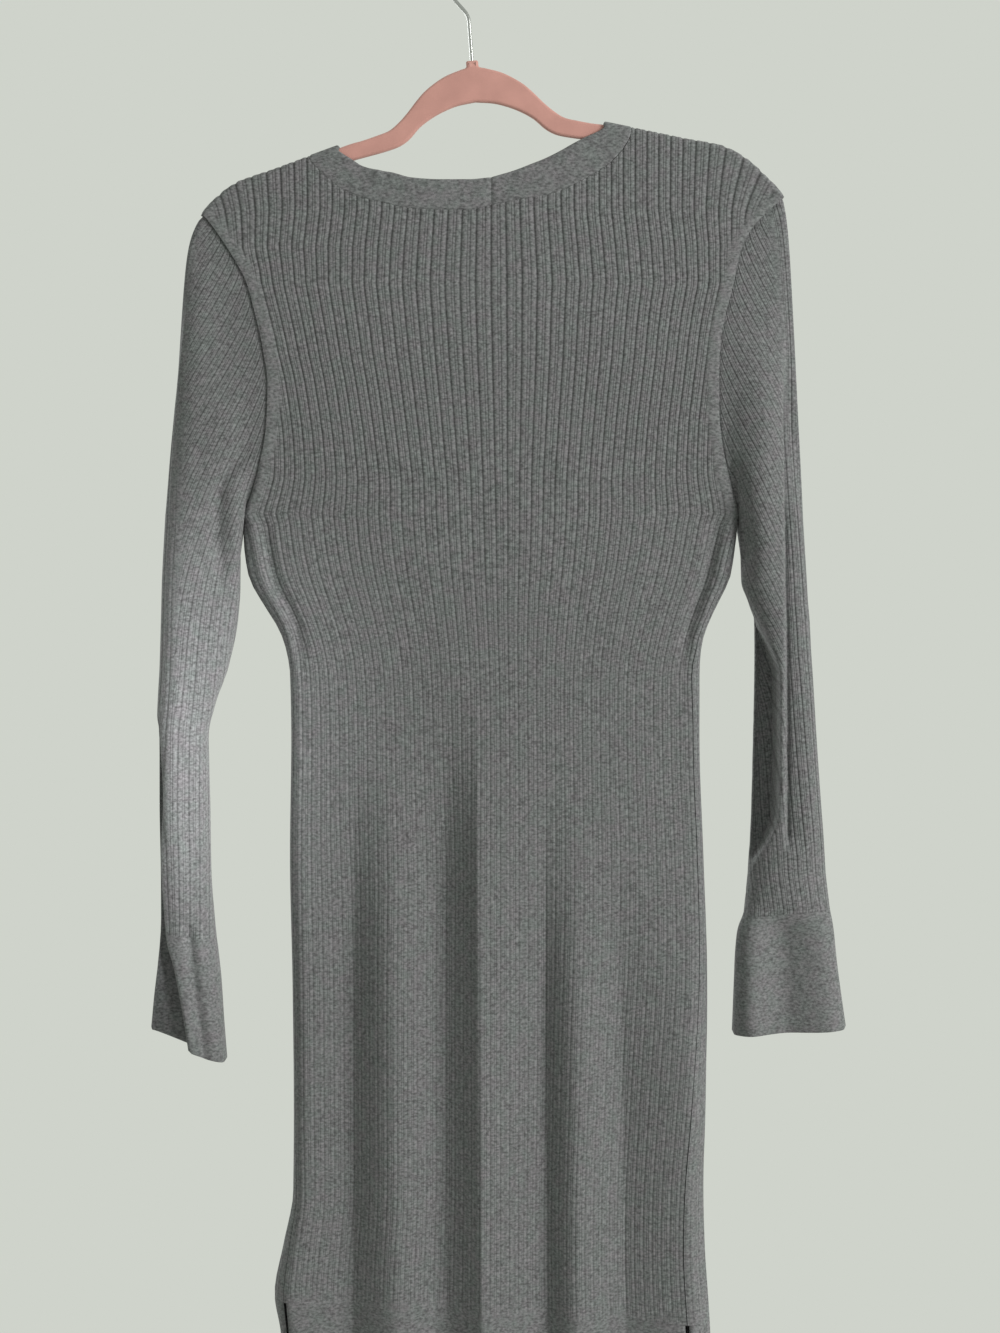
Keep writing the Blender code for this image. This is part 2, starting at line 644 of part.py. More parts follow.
def hanger_hook(finish, home):
    """The wire: up from its seat, aside at the kink, then round over the rail in one arc."""
    height = HOOK_RADIUS / math.sin(HOOK_LEAN)
    straight = HOOK_RADIUS / math.tan(HOOK_LEAN)
    bend = 5.0  # of the stem and of the slant that the rounded kink takes up
    kink_in = (0, -(STEM - bend))
    kink_out = (-bend * math.sin(HOOK_LEAN), -(STEM + bend * math.cos(HOOK_LEAN)))
    turn = np.linspace(0, 1, 5)[:, None]
    corner = np.array((0, -STEM))
    kink = (1 - turn) ** 2 * kink_in + 2 * turn * (1 - turn) * corner + turn**2 * kink_out
    slant = np.array([(-straight * math.sin(HOOK_LEAN), -(STEM + straight * math.cos(HOOK_LEAN)))])
    angle = np.radians(np.linspace(180 + math.degrees(HOOK_LEAN), -18, 27))[1:]
    arc = np.stack(
        (HOOK_RADIUS * np.cos(angle), -(STEM + height) - HOOK_RADIUS * np.sin(angle)), axis=-1
    )
    route = np.concatenate(([(0, STEM_SEAT)], kink, slant, arc))
    x, z = from_hanger(route[:, 0], route[:, 1])
    curve = bpy.data.curves.new("hanger_hook", "CURVE")
    curve.dimensions = "3D"
    curve.bevel_depth = WIRE / 2 * MM
    curve.bevel_resolution = 2
    curve.use_fill_caps = True
    spline = curve.splines.new("POLY")
    spline.points.add(len(x) - 1)
    spline.points.foreach_set("co", np.stack((x * MM, 0 * x, z * MM, 0 * x + 1), axis=-1).ravel())
    spline.use_smooth = True
    curve.materials.append(finish)
    home.objects.link(bpy.data.objects.new("hanger_hook", curve))


def main():
    for old in list(bpy.data.objects):
        bpy.data.objects.remove(old)
    home = collection("sweater_dress")
    cutters = collection("cutters")
    rib = material("grey_rib_knit", (0.16, 0.165, 0.16), 0.9)
    plain = material("grey_plain_knit", (0.17, 0.172, 0.168), 0.9)
    flock = material("pink_flock", (0.52, 0.29, 0.24), 0.85)
    steel = material("hook_steel", (0.55, 0.57, 0.58), 0.3, 1.0)

    hanger_body(flock, home, cutters)
    hanger_hook(steel, home)
    panels = [panel_grid(side) for side in (-1, 1)]
    for name, side, grid in zip(("back", "front"), (-1, 1), panels):
        cloth(name + "_panel", grid, RIB_WALL, rib, home)
        cloth("hem_band_" + name, hem_band_grid(side), PLAIN_WALL, plain, home)
    left_neck = PANEL_COLUMNS[0]
    centre = left_neck + PANEL_COLUMNS[1]
    right_neck = centre + PANEL_COLUMNS[2]
    for name, halves, neck in (
        ("left", (NECK_BACK_LEFT, NECK_FRONT_LEFT), left_neck),
        ("right", (NECK_BACK_RIGHT, NECK_FRONT_RIGHT), right_neck),
    ):
        cloth("neckband_" + name, half_band(panels, halves, neck, centre), PLAIN_WALL, plain, home)
    for name, rows, column, outer, jut in (
        ("left", SLEEVE_LEFT, 0, -1, 0.45),
        ("right", SLEEVE_RIGHT, -1, 1, 0.22),
    ):
        seam = CUFF_SEAM[name]
        sleeve, parts = sleeve_grid(rows, panels, column, outer, jut, seam)
        cloth("sleeve_" + name, sleeve, RIB_WALL, rib, home, closed=True)
        cuff = cuff_grid(rows, outer, seam, parts)
        cloth("cuff_" + name, cuff, PLAIN_WALL, plain, home, closed=True)


main()
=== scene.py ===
# %% [markdown]
# # A rib-knit dress on a flocked hanger
# A long-sleeved sweater dress hangs from a slim hanger, seen from its back. The frame that is
# loaded first is the plain CAD model. Every piece below is a finer copy of one of its solids: the
# same form, with the rib, folds and creases that a knitted cloth shows.
# Lengths are written in millimetres and are scaled to metres when a mesh is made. X runs along the
# hanger, -Y is the back of the dress and +Z is up, with the origin inside the top of the hook.

# %% Load the frame
import math

import bmesh
import bpy
import numpy as np
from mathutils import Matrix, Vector


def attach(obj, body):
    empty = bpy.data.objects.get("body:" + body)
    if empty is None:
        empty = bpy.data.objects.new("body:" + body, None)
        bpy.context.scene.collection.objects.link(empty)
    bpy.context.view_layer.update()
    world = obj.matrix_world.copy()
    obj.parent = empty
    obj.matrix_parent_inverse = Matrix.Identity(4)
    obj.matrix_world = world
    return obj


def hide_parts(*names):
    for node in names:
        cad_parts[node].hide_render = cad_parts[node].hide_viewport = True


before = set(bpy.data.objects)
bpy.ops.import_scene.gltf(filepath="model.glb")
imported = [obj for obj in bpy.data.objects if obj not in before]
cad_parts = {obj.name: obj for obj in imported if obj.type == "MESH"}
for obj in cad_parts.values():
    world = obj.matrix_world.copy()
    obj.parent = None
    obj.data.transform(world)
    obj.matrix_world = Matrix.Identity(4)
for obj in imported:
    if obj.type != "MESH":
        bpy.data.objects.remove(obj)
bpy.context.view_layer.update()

MM = 0.001
print("CAD nodes:", len(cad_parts))

# %% [markdown]
# ## Reading short tables
# A cut or a fold is given by a few rows of sizes. A smooth curve goes through them and never
# swings past a value, so an outline stays between the sizes that are given.

# %% Tables and curves


def table(names, *rows):
    """Name the columns of a short table."""
    return dict(zip(names.split(), np.array(rows, float).T))


def curve_at(where, places, values):
    """Smooth curve through a table: each stretch is a cubic whose end slopes are the harmonic
    mean of the slopes on both sides, or zero at a turning point."""
    places, values = np.asarray(places, float), np.asarray(values, float)
    order = np.argsort(places)
    p, v = places[order], values[order]
    slopes = np.diff(v) / np.diff(p)
    product, total = slopes[:-1] * slopes[1:], slopes[:-1] + slopes[1:]
    middle = np.where(product > 0, 2 * product / np.where(total == 0, 1, total), 0)
    tangent = np.concatenate(([slopes[0]], middle, [slopes[-1]]))
    w = np.clip(where, p[0], p[-1])
    i = np.clip(np.searchsorted(p, w) - 1, 0, len(p) - 2)
    span = p[i + 1] - p[i]
    t = (w - p[i]) / span
    start = (1 + 2 * t) * (1 - t) ** 2 * v[i] + t * (1 - t) ** 2 * span * tangent[i]
    end = t * t * (3 - 2 * t) * v[i + 1] - t * t * (1 - t) * span * tangent[i + 1]
    return start + end


def ease(low, high, value):
    """3t^2 - 2t^3, where t goes from 0 at low to 1 at high."""
    t = np.clip((value - low) / (high - low), 0, 1)
    return t * t * (3 - 2 * t)


def bell(value, middle, width):
    """A bell of height 1: e to the power of minus the squared distance over the width."""
    return np.exp(-(((value - middle) / width) ** 2))


def crease(x, z, heights, places, rise, width, fade=14):
    """A soft ridge (or trough, where rise is negative) along a line that is given from its top
    down: a bell across the line, which fades in and out at the line's two ends."""
    line = curve_at(z, heights, places)
    top, bottom = heights[0], heights[-1]
    held = ease(bottom - fade, bottom + fade, z) * (1 - ease(top - fade, top + fade, z))
    return rise * bell(x, line, width) * held


def creases(x, z, *rows):
    """Several creases added up. A row holds what a crease takes after its x and z."""
    return sum(crease(x, z, *row) for row in rows)


def length_along(points):
    """Distance from the first point, along a line of points or along each column of a grid."""
    steps = np.linalg.norm(np.diff(points, axis=0), axis=-1)
    return np.concatenate((np.zeros_like(steps[:1]), np.cumsum(steps, axis=0)))


def points_at(line, length, where):
    """Points of a line at given lengths along it."""
    return np.stack([np.interp(where, length, column) for column in line.T], axis=-1)


# %% [markdown]
# ## Cloth from a grid of points
# Each piece of cloth is worked out as a grid of points on its outer face. Two facts go with each
# point: which rib it is on, and how far down the cloth it is. They become the piece's UV map, so the
# knit follows the cloth round every fold. A Solidify modifier then gives the wall its thickness.

# %% Grid to mesh


def outward(grid, closed, turn):
    """Unit normals: the cross product of the differences along the rows and along the columns.
    turn is 1 where that already points out of the dress, and -1 where it points into it."""
    if closed:
        across = np.roll(grid, -1, axis=1) - np.roll(grid, 1, axis=1)
    else:
        across = np.gradient(grid, axis=1)
    normal = turn * np.cross(across, np.gradient(grid, axis=0))
    return normal / np.maximum(np.linalg.norm(normal, axis=-1, keepdims=True), 1e-9)


def merge_points(mesh, nearer, face_outward=False):
    """Join points that are nearer than a length in metres, as where a seam cuts columns off, and
    drop the faces that this empties. Where asked, turn every face outwards."""
    shape = bmesh.new()
    shape.from_mesh(mesh)
    bmesh.ops.remove_doubles(shape, verts=shape.verts, dist=nearer)
    if face_outward:
        bmesh.ops.recalc_face_normals(shape, faces=shape.faces)
    shape.to_mesh(mesh)
    shape.free()


def placed(name, data):
    """A new object in the scene."""
    made = bpy.data.objects.new(name, data)
    bpy.context.scene.collection.objects.link(made)
    return made


def cloth(name, grid, rib_number, course, clear, turn, wall, closed=False):
    """A mesh through the grid. rib_number and course, in millimetres, are the UV map, and clear,
    from 0 to 1, says how much the rib shows: how deep the material presses the grooves in and how
    much painted shade darkens them. turn is as for the normals. The open edges are marked
    sharp, so that the cut of the wall does not shade the face beside it."""
    rows, columns, _ = grid.shape
    number = np.arange(rows * columns).reshape(rows, columns)
    if closed:
        number = np.concatenate((number, number[:, :1]), axis=1)
    uv = np.stack((rib_number, np.broadcast_to(course, rib_number.shape) / 10), axis=-1)
    here, beyond = slice(0, -1), slice(1, None)
    corners = ((here, here), (here, beyond), (beyond, beyond), (beyond, here))
    faces = np.stack([number[a, b] for a, b in corners], axis=2).reshape(-1, 4)
    uv = np.stack([uv[a, b] for a, b in corners], axis=2).reshape(-1, 4, 2)
    if turn < 0:
        faces, uv = faces[:, ::-1], uv[:, ::-1]
    mesh = bpy.data.meshes.new(name)
    mesh.from_pydata((grid.reshape(-1, 3) * MM).tolist(), [], faces.tolist())
    layer = mesh.uv_layers.new(name="knit")
    layer.uv.foreach_set("vector", uv.reshape(-1).astype(np.float32))
    shown = mesh.attributes.new("rib", "FLOAT", "POINT")
    shown.data.foreach_set("value", np.broadcast_to(clear, (rows, columns)).reshape(-1).astype(np.float32))
    mesh.shade_smooth()
    if not closed:
        merge_points(mesh, 2e-6)
    used = np.empty(len(mesh.loops), int)
    mesh.loops.foreach_get("edge_index", used)
    mesh.edges.foreach_set("use_edge_sharp", np.bincount(used, minlength=len(mesh.edges)) == 1)
    made = placed(name, mesh)
    thick = made.modifiers.new("Wall", "SOLIDIFY")
    thick.thickness = wall * MM
    thick.offset = -1
    area = sum(face.area for face in mesh.polygons)
    print(f"{name}: {rows} x {columns} points, {area:.4f} m2")
    return made


# %% [markdown]
# ## The rib
# One repeat of this rib is a deep groove, a broad rib, a pair of faint grooves with a thin line
# between them, and another broad rib. Its height is a function of the rib number, whose whole
# values lie in the deep grooves. The broad relief is real geometry, and the material repeats it
# finely as bumps with painted shade in the grooves, so that the grooves stay crisp.

# %% Rib relief
RIB = 7.8  # width of one repeat where the cloth is not stretched


def rib_relief(number):
    """Height, from about 0.3 beside a deep groove to about -0.8 in it. With f the distance to the
    nearest one, in ribs: 0.3, less a bell at f = 0, a weaker one at f = 0.45 and a gentle wave."""
    f = np.abs(number - np.round(number))
    return 0.3 - bell(f, 0, 0.1) - 0.3 * bell(f, 0.45, 0.07) - 0.12 * (1 - np.cos(2 * np.pi * (f - 0.2)))


print("relief in a groove and beside it:", rib_relief(np.array([0.0, 0.2])).round(2))

# %% [markdown]
# ## How the cloth lies on the hanger
# The shoulders bend over a thin board, so front and back are almost flat there. The bend is a
# quarter circle on each side. Below it the body swells a little, and its side edges are round.
# The tables repeat the sizes of the solids.

# %% Hanger's own frame and the line of the shoulders
HANGER_THICK, HANGER_EDGE, WIRE, HOOK_RADIUS = 5.5, 2.3, 2.8, 21.0
TILT, HOOK_LEAN, STEM, STEM_SEAT = math.radians(4.3), math.radians(37.3), 35.0, 7.0
WALL, PLAIN_WALL, CLOTH_REST, TIP_SLACK, ARM_HIGH, TAB_HALF = 1.6, 1.8, 0.9, 1.6, 13.0, 4.7
ROLL = HANGER_THICK / 2 + CLOTH_REST + WALL / 2
ROLL_LENGTH = ROLL * math.pi / 2
ARMPIT, HALF_WIDTH, CENTRE = -438.0, 160.0, 20.0
SEAM_GAP, SLIT_GAP, ARMHOLE_GAP = 0.3, 1.5, 0.2
SHOULDER = table(
    "out down",
    (96, 54), (112, 58.5), (128, 63), (144, 67.6), (160, 72.2), (174, 75.6), (186, 79),
    (196, 84.2), (205, 91), (213, 99), (222, 109.5), (232, 123.5), (240, 137),
)


def from_hanger(out, down):
    """Place in the hanger's own frame, turned by its tilt about the centre of the hook."""
    centre = -(HOOK_RADIUS - WIRE / 2)
    reach = STEM + HOOK_RADIUS / math.sin(HOOK_LEAN) + np.asarray(down, float)
    out = np.asarray(out, float)
    x = out * math.cos(TILT) + reach * math.sin(TILT)
    return x, centre + out * math.sin(TILT) - reach * math.cos(TILT)


def ridge(x):
    """Height of the middle of the cloth's wall where it bends over the hanger."""
    left_x, left_z = from_hanger(-SHOULDER["out"][::-1], SHOULDER["down"][::-1] + WALL / 2)
    right_x, right_z = from_hanger(SHOULDER["out"], SHOULDER["down"] + WALL / 2)
    return np.interp(x, np.concatenate((left_x, right_x)), np.concatenate((left_z, right_z)))


def bend_over(x, z, half_depth):
    """Above the start of the bend, height turns into an angle: depth is R cos a and height R sin a."""
    start = ridge(x) - ROLL
    angle = np.clip((z - start) / ROLL, 0, math.pi / 2)
    over = z > start
    return np.where(over, ROLL * np.cos(angle), half_depth), np.where(over, start + ROLL * np.sin(angle), z)


print("bend over the hanger, radius:", ROLL, "mm")

# %% Sizes of the body
BODY = table(
    "height left right deep edge turn_left turn_right",
    (-438, -170.3, 210.2, 13, 6, 0, 0),
    (-462, -169.3, 207.0, 13, 6, 5, 4),
    (-485, -166.0, 203.5, 13, 6, 6, 6),
    (-505, -156.0, 194.5, 14, 6, 6, 5),
    (-523, -144.5, 186.0, 14, 7, 5, 4),
    (-540, -137.5, 181.0, 14, 7, 3, 4),
    (-560, -134.0, 179.5, 15, 7, 2, 6),
    (-610, -133.0, 179.5, 16, 7, 2, 5),
    (-700, -134.0, 182.5, 17, 8, 2, 5),
    (-800, -132.0, 185.5, 18, 9, 2, 7),
    (-900, -131.0, 184.0, 19, 9, 2, 12),
    (-958, -131.5, 182.5, 19, 9, 3, 15),
    (-1000, -139.0, 183.5, 19, 9, 5, 17),
    (-1037, -146.0, 186.0, 19, 9, 8, 18),
    (-1070, -141.0, 188.0, 19, 9, 5, 18),
    (-1155, -139.0, 190.0, 19, 9, 3, 17),
)
ARMHOLE_LEFT = table(
    "height across",
    (-207, -203), (-213, -197.5), (-229, -186), (-245, -176), (-259, -168.5), (-281, -162),
    (-311, -155), (-340, -151), (-370, -152), (-399, -156.5), (-425, -164), (-438, -170.3),
)
ARMHOLE_RIGHT = table(
    "height across",
    (-195, 245), (-206, 232.5), (-219, 220.5), (-237, 211.5), (-266, 205), (-288, 199),
    (-311, 195.5), (-332, 194.5), (-360, 194.5), (-389, 197.5), (-415, 203), (-438, 210.2),
)

# %% [markdown]
# ## The folds of the skirt
# The skirt is wider than it needs to be, so it hangs in long soft folds that start at the waist.
# Each row is a crest or a trough, and the two slopes say how the cloth arrives there and leaves:
# 0 is rounded and 2 is creased. A cubic joins each one to the next.

# %% Folds
BACK_FOLDS = table(
    "high low rise begins full before after",
    (-131, -136, 5, -620, -900, 0, 0.6),
    (-84, -86, -9, -600, -820, 0.9, 1.2),
    (-58, -50, 6, -600, -820, 0.0, 0.2),
    (-14, -14, -9, -560, -740, 0.2, 0.5),
    (9, 14, 8, -560, -740, 1.3, 0.8),
    (60, 64, -9, -640, -860, 1.0, 1.2),
    (86, 86, 6, -640, -860, 0.0, 0.4),
    (117, 124, -7, -680, -900, 0.6, 0.9),
    (170, 173, 7, -680, -900, 0.4, 0.0),
)
FRONT_FOLDS = table(
    "high low rise begins full before after",
    (-131, -138, 0, -620, -900, 0, 0.2),
    (-96, -100, 6, -640, -900, 0.3, 1.4),
    (-60, -66, -6, -640, -900, 1.2, 0.4),
    (-22, -20, 7, -600, -840, 0.2, 0.6),
    (22, 26, -7, -600, -840, 1.8, 1.0),
    (60, 66, 7, -620, -880, 0.2, 0.4),
    (98, 104, -5, -660, -920, 0.6, 1.6),
    (140, 142, 6, -660, -920, 0.2, 0.2),
    (178, 182, 0, -680, -920, 0, 0),
)


def folds(rows, x, z):
    """From each crest or trough to the next: a cubic in t, the share of the way between them,
    with the table's two end slopes. Heights grow from where a fold begins to where it is full."""
    drop = np.clip((z + 580) / (-1130 + 580), 0, 1)
    height = [r * ease(a, b, z) for r, a, b in zip(rows["rise"], rows["begins"], rows["full"])]
    place = [high + (low - high) * drop for high, low in zip(rows["high"], rows["low"])]
    total = height[0]
    for n in range(len(height) - 1):
        t = np.clip((x - place[n]) / (place[n + 1] - place[n]), 0, 1)
        leave, meet = rows["after"][n], rows["before"][n + 1]
        share = t * t * (3 - 2 * t) + leave * t * (1 - t) ** 2 - meet * t * t * (1 - t)
        total = total + (height[n + 1] - height[n]) * share
    return total


def depth(x, z, inside, rows):
    """Half depth of the body: the bend's radius at the hanger, more below, and a round side edge.
    inside is the distance from the nearer side. Above the armpits the sides are open."""
    deep = curve_at(z, np.append(BODY["height"], -140), np.append(BODY["deep"], 7))
    edge = curve_at(z, BODY["height"], BODY["edge"])
    below = np.clip(ridge(x) - ROLL - z, 0, None)
    body = ROLL + (deep - ROLL) * ease(0, 170, below)
    corner = 1 - np.clip(inside / edge, 0, 1)
    swell = 1 - (1 - np.clip(inside / HALF_WIDTH, 0, 1)) ** 2
    closed = (edge * np.sqrt(1 - corner**2) + (deep - edge) * swell) / deep
    opening = np.sqrt(np.clip((z - ARMPIT) / 45, 0, 1))
    return body * (closed + (1 - closed) * opening) + folds(rows, x, z) * ease(0, 14, inside)


def small_forms(x, z, side):
    """Rolled ridges with a groove beside them, from each armpit to the waist, and a few slack
    waves across: deeper on the back than on the front."""
    much = 1.0 if side < 0 else 0.7
    heights = (-448, -490, -523, -545)
    rolled = creases(
        x, z,
        (heights, (-163, -154, -138, -135), 2.6, 4),
        (heights, (-154, -145, -129, -126), -3.2, 5),
        (heights, (203, 193, 182, 178), 2.2, 4),
        (heights, (194, 184, 172, 168), -3.4, 5),
    )
    aside = np.abs(x - CENTRE)
    slack = 1.3 * bell(z + 0.12 * aside, -300, 24) - bell(z + 0.1 * aside, -352, 22)
    slack = slack + bell(z - 0.25 * x, -560, 18) - bell(z - 0.22 * x, -596, 18)
    return much * (rolled + slack * (1 - ease(70, 170, aside)))


def body_at(z, *names):
    """Sizes of the body at one height."""
    return [float(curve_at(z, BODY["height"], BODY[name])) for name in names]


def section(z, side):
    """One face of the body's section at one height: points X and Y, closer together towards the
    sides, and its two limits in X."""
    left, right = body_at(z, "left", "right")
    across = np.sin(np.linspace(-1, 1, 1201) * math.pi / 2)
    x = (left + right) / 2 + across * (right - left) / 2
    inside = (1 - np.abs(across)) * (right - left) / 2
    half = depth(x, np.full_like(x, z), inside, BACK_FOLDS if side < 0 else FRONT_FOLDS)
    return x, side * (half + small_forms(x, np.full_like(x, z), side) * ease(2, 8, inside)), left, right


def panel_section(z, side):
    """The stretch of a section that one panel covers, and the length along it. The side seams lie
    a little way round on the back, so the front panel reaches round both edges."""
    x, y, left, right = section(z, -1)
    turn_left, turn_right = body_at(z, "turn_left", "turn_right")
    seams = left + turn_left, right - turn_right
    ends = np.interp(seams, x, y)
    kept = (x > seams[0]) & (x < seams[1])
    line = np.stack((x[kept], y[kept]))
    if side > 0:
        front_x, front_y, *_ = section(z, 1)
        turns = [np.stack((x[t][::-1], y[t][::-1])) for t in (x < seams[0], x > seams[1])]
        line = np.concatenate((turns[0], np.stack((front_x[1:-1], front_y[1:-1])), turns[1]), axis=1)
    line = np.concatenate(([[seams[0]], [ends[0]]], line, [[seams[1]], [ends[1]]]), axis=1)
    return line, length_along(line.T)


round_hem = [round(float(panel_section(-1100, side)[1][-1])) for side in (-1, 1)]
print("round the hem:", round_hem, "mm back, front")

# %% [markdown]
# ## Where the ribs run
# Ribs are counted from the middle of the back, and every rib runs the whole height of the panel
# unless an armhole cuts it off. Their spacing follows the body's width, smoothed over the height,
# so the middle ribs fall gently past the waist and only the outer ones follow the side's curve.
# Towards the neck the middle ones spread, where the cloth is stretched over the shoulders.

# %% Rib places across a panel
RIBS_LEFT, RIBS_RIGHT, CHEST_PITCH = 22.0, 21.5, 8.5
SPREAD = table("height spread", (-504, 0.03), (-412, 0.1), (-319, 0.33), (-261, 0.42), (-205, 0.3))
MIDDLE_LINE = table("height across", (-627, 26.8), (-581, 26.4), (-504, 24.5), (-412, 22.9), (-273, 19.9))
SPREAD_RIBS, SMOOTHED_OVER = 7, 34


def share_across(number):
    """Share of the way across a panel, from 0 at its left edge to 1 at its right one."""
    return (number + RIBS_LEFT) / (RIBS_LEFT + RIBS_RIGHT)


def spaced(number, height):
    """n + 7c tanh(n / 7), where c is the spread at this height: the ribs near the middle spread,
    and the others are only moved along."""
    spread = np.interp(height, SPREAD["height"], SPREAD["spread"])
    return number + spread * SPREAD_RIBS * np.tanh(number / SPREAD_RIBS)


def middle_length(line, length, height):
    """Where the middle line lies along a section."""
    inner = (length > 0.2 * length[-1]) & (length < 0.8 * length[-1])
    across = float(curve_at(height, MIDDLE_LINE["height"], MIDDLE_LINE["across"]))
    return np.interp(across, line[0][inner], length[inner])


def pitches(side):
    """Rib spacing on the left and right by height: the section's length over the number of ribs,
    smoothed with a bell 34 mm wide, and even above the armpits."""
    heights = np.arange(-1156.0, -200, 8)
    found = []
    for height in heights:
        if height > ARMPIT:
            found.append((CHEST_PITCH, CHEST_PITCH))
            continue
        line, length = panel_section(height, side)
        middle = middle_length(line, length, height)
        found.append((middle / spaced(RIBS_LEFT, height), (length[-1] - middle) / spaced(RIBS_RIGHT, height)))
    weight = bell(heights[:, None], heights[None, :], SMOOTHED_OVER)
    weight /= weight.sum(axis=1, keepdims=True)
    return heights, weight @ np.array(found)


PITCH = {side: pitches(side) for side in (-1, 1)}


def from_middle(side, number, height):
    """Distance of each rib from the middle line, as if the spacing were the smoothed one."""
    heights, found = PITCH[side]
    left, right = (np.interp(height, heights, column) for column in found.T)
    pitch = np.where(number < 0, left, right)
    return np.sign(number) * pitch * spaced(np.abs(number), height)


def rib_place(side, number, low, middle, high, height):
    """Where the ribs lie between two edges: from the middle by the smoothed spacing, and what is
    left over at each edge is taken up by the outer ribs, with the sixth power of their share."""
    place = middle + from_middle(side, number, height)
    ends = [middle + from_middle(side, np.array(n), height) for n in (-RIBS_LEFT, RIBS_RIGHT)]
    over = np.where(number < 0, low - ends[0], high - ends[1])
    share = np.where(number < 0, -number / RIBS_LEFT, number / RIBS_RIGHT)
    return place + over * share**6


heights, found = PITCH[-1]
at_waist = [round(float(np.interp(-600, heights, column)), 2) for column in found.T]
print("rib spacing at the waist:", at_waist, "mm left, right")

# %% [markdown]
# ## Neckline
# A plain band finishes the neck. Its seam and its free edge are two lines, given from the start
# of the bend over the hanger to the centre of the back, and to the point of the V in front.

# %% Neck lines
NECK_BACK_LEFT = table(
    "seam_x seam_z edge_x edge_z",
    (-119, -165.5, -97, -157.5), (-113, -172, -93, -160.5), (-104, -181, -87, -164.5),
    (-93, -189.5, -79, -170), (-80, -194.5, -69, -173), (-63, -199, -56, -175.5),
    (-45, -203, -41, -179.5), (-20, -204.5, -19, -181), (4, -204.5, 3, -181), (20, -201, 20, -179.5),
)
NECK_BACK_RIGHT = table(
    "seam_x seam_z edge_x edge_z",
    (127.5, -147, 106.5, -139.5), (124, -154, 103.5, -142), (118, -162, 99, -144.5),
    (109, -170.5, 92, -148), (98, -177.5, 83, -153), (85, -184.5, 72, -159.5), (70, -191, 60, -165.5),
    (58, -194, 50, -169.5), (42, -196.5, 37, -174.5), (20, -201, 20, -179.5),
)
NECK_FRONT_LEFT = table(
    "seam_x seam_z edge_x edge_z",
    (-119, -165.5, -97, -157.5), (-114, -180, -91, -170), (-95, -211, -70, -199),
    (-62, -252, -40, -236), (-22, -302, -8, -276), (20, -352, 20, -312),
)
NECK_FRONT_RIGHT = table(
    "seam_x seam_z edge_x edge_z",
    (127.5, -147, 106.5, -139.5), (123, -168, 100.5, -158), (108, -205, 84, -193),
    (82, -250, 63, -234), (52, -301, 43, -275), (20, -352, 20, -312),
)
NECK_LEFT, NECK_RIGHT = NECK_BACK_LEFT["seam_x"][0], NECK_BACK_RIGHT["seam_x"][0]


def panel_top(x, side):
    """Height of a panel's upper edge before it is bent over: the neck seam for the columns that
    end between the neck points, and the top of the hanger for the others."""
    halves = (NECK_BACK_LEFT, NECK_BACK_RIGHT) if side < 0 else (NECK_FRONT_LEFT, NECK_FRONT_RIGHT)
    left, right = (curve_at(x, half["seam_x"], half["seam_z"]) for half in halves)
    neck = np.where(x < CENTRE, left, right) - SEAM_GAP
    shoulder = ridge(x) - ROLL + ROLL_LENGTH - SEAM_GAP
    return np.where((x[-1] > NECK_LEFT) & (x[-1] < NECK_RIGHT), neck, shoulder)


# %% [markdown]
# ## The two big panels
# Back and front are each one knitted panel. Above the armpits a grid of points fans out to the
# armholes, the shoulders and the neck. A point's height depends on its place across and the other
# way round, so both are refined together, round after round. Below the armpits each row follows
# the body's section, measured along the cloth, so that the ribs stay evenly spaced round a fold.

# %% Panels
PER_RIB = 9
NUMBERS = np.linspace(-RIBS_LEFT, RIBS_RIGHT, int((RIBS_LEFT + RIBS_RIGHT) * PER_RIB) + 1)
SHARE = share_across(NUMBERS)
BAND_TOP, BAND_DROP, HEM_BAND = -1041.0, 16.0, 92.0
LOWER_ROWS, EVEN_ROWS, FINE_ROWS, ROUNDS = 66, 40, 12, 18
LEAN, LEAN_TOP = 0.85, -234
PANEL_WIDE, BAND_WIDE = 340, 330  # roughly, to turn a share of the width into millimetres
COURSE_COLUMN = 100  # the column along which courses are counted


def armholes(z):
    """Places across of the two armholes' seams."""
    return [curve_at(z, rows["height"], rows["across"]) for rows in (ARMHOLE_LEFT, ARMHOLE_RIGHT)]


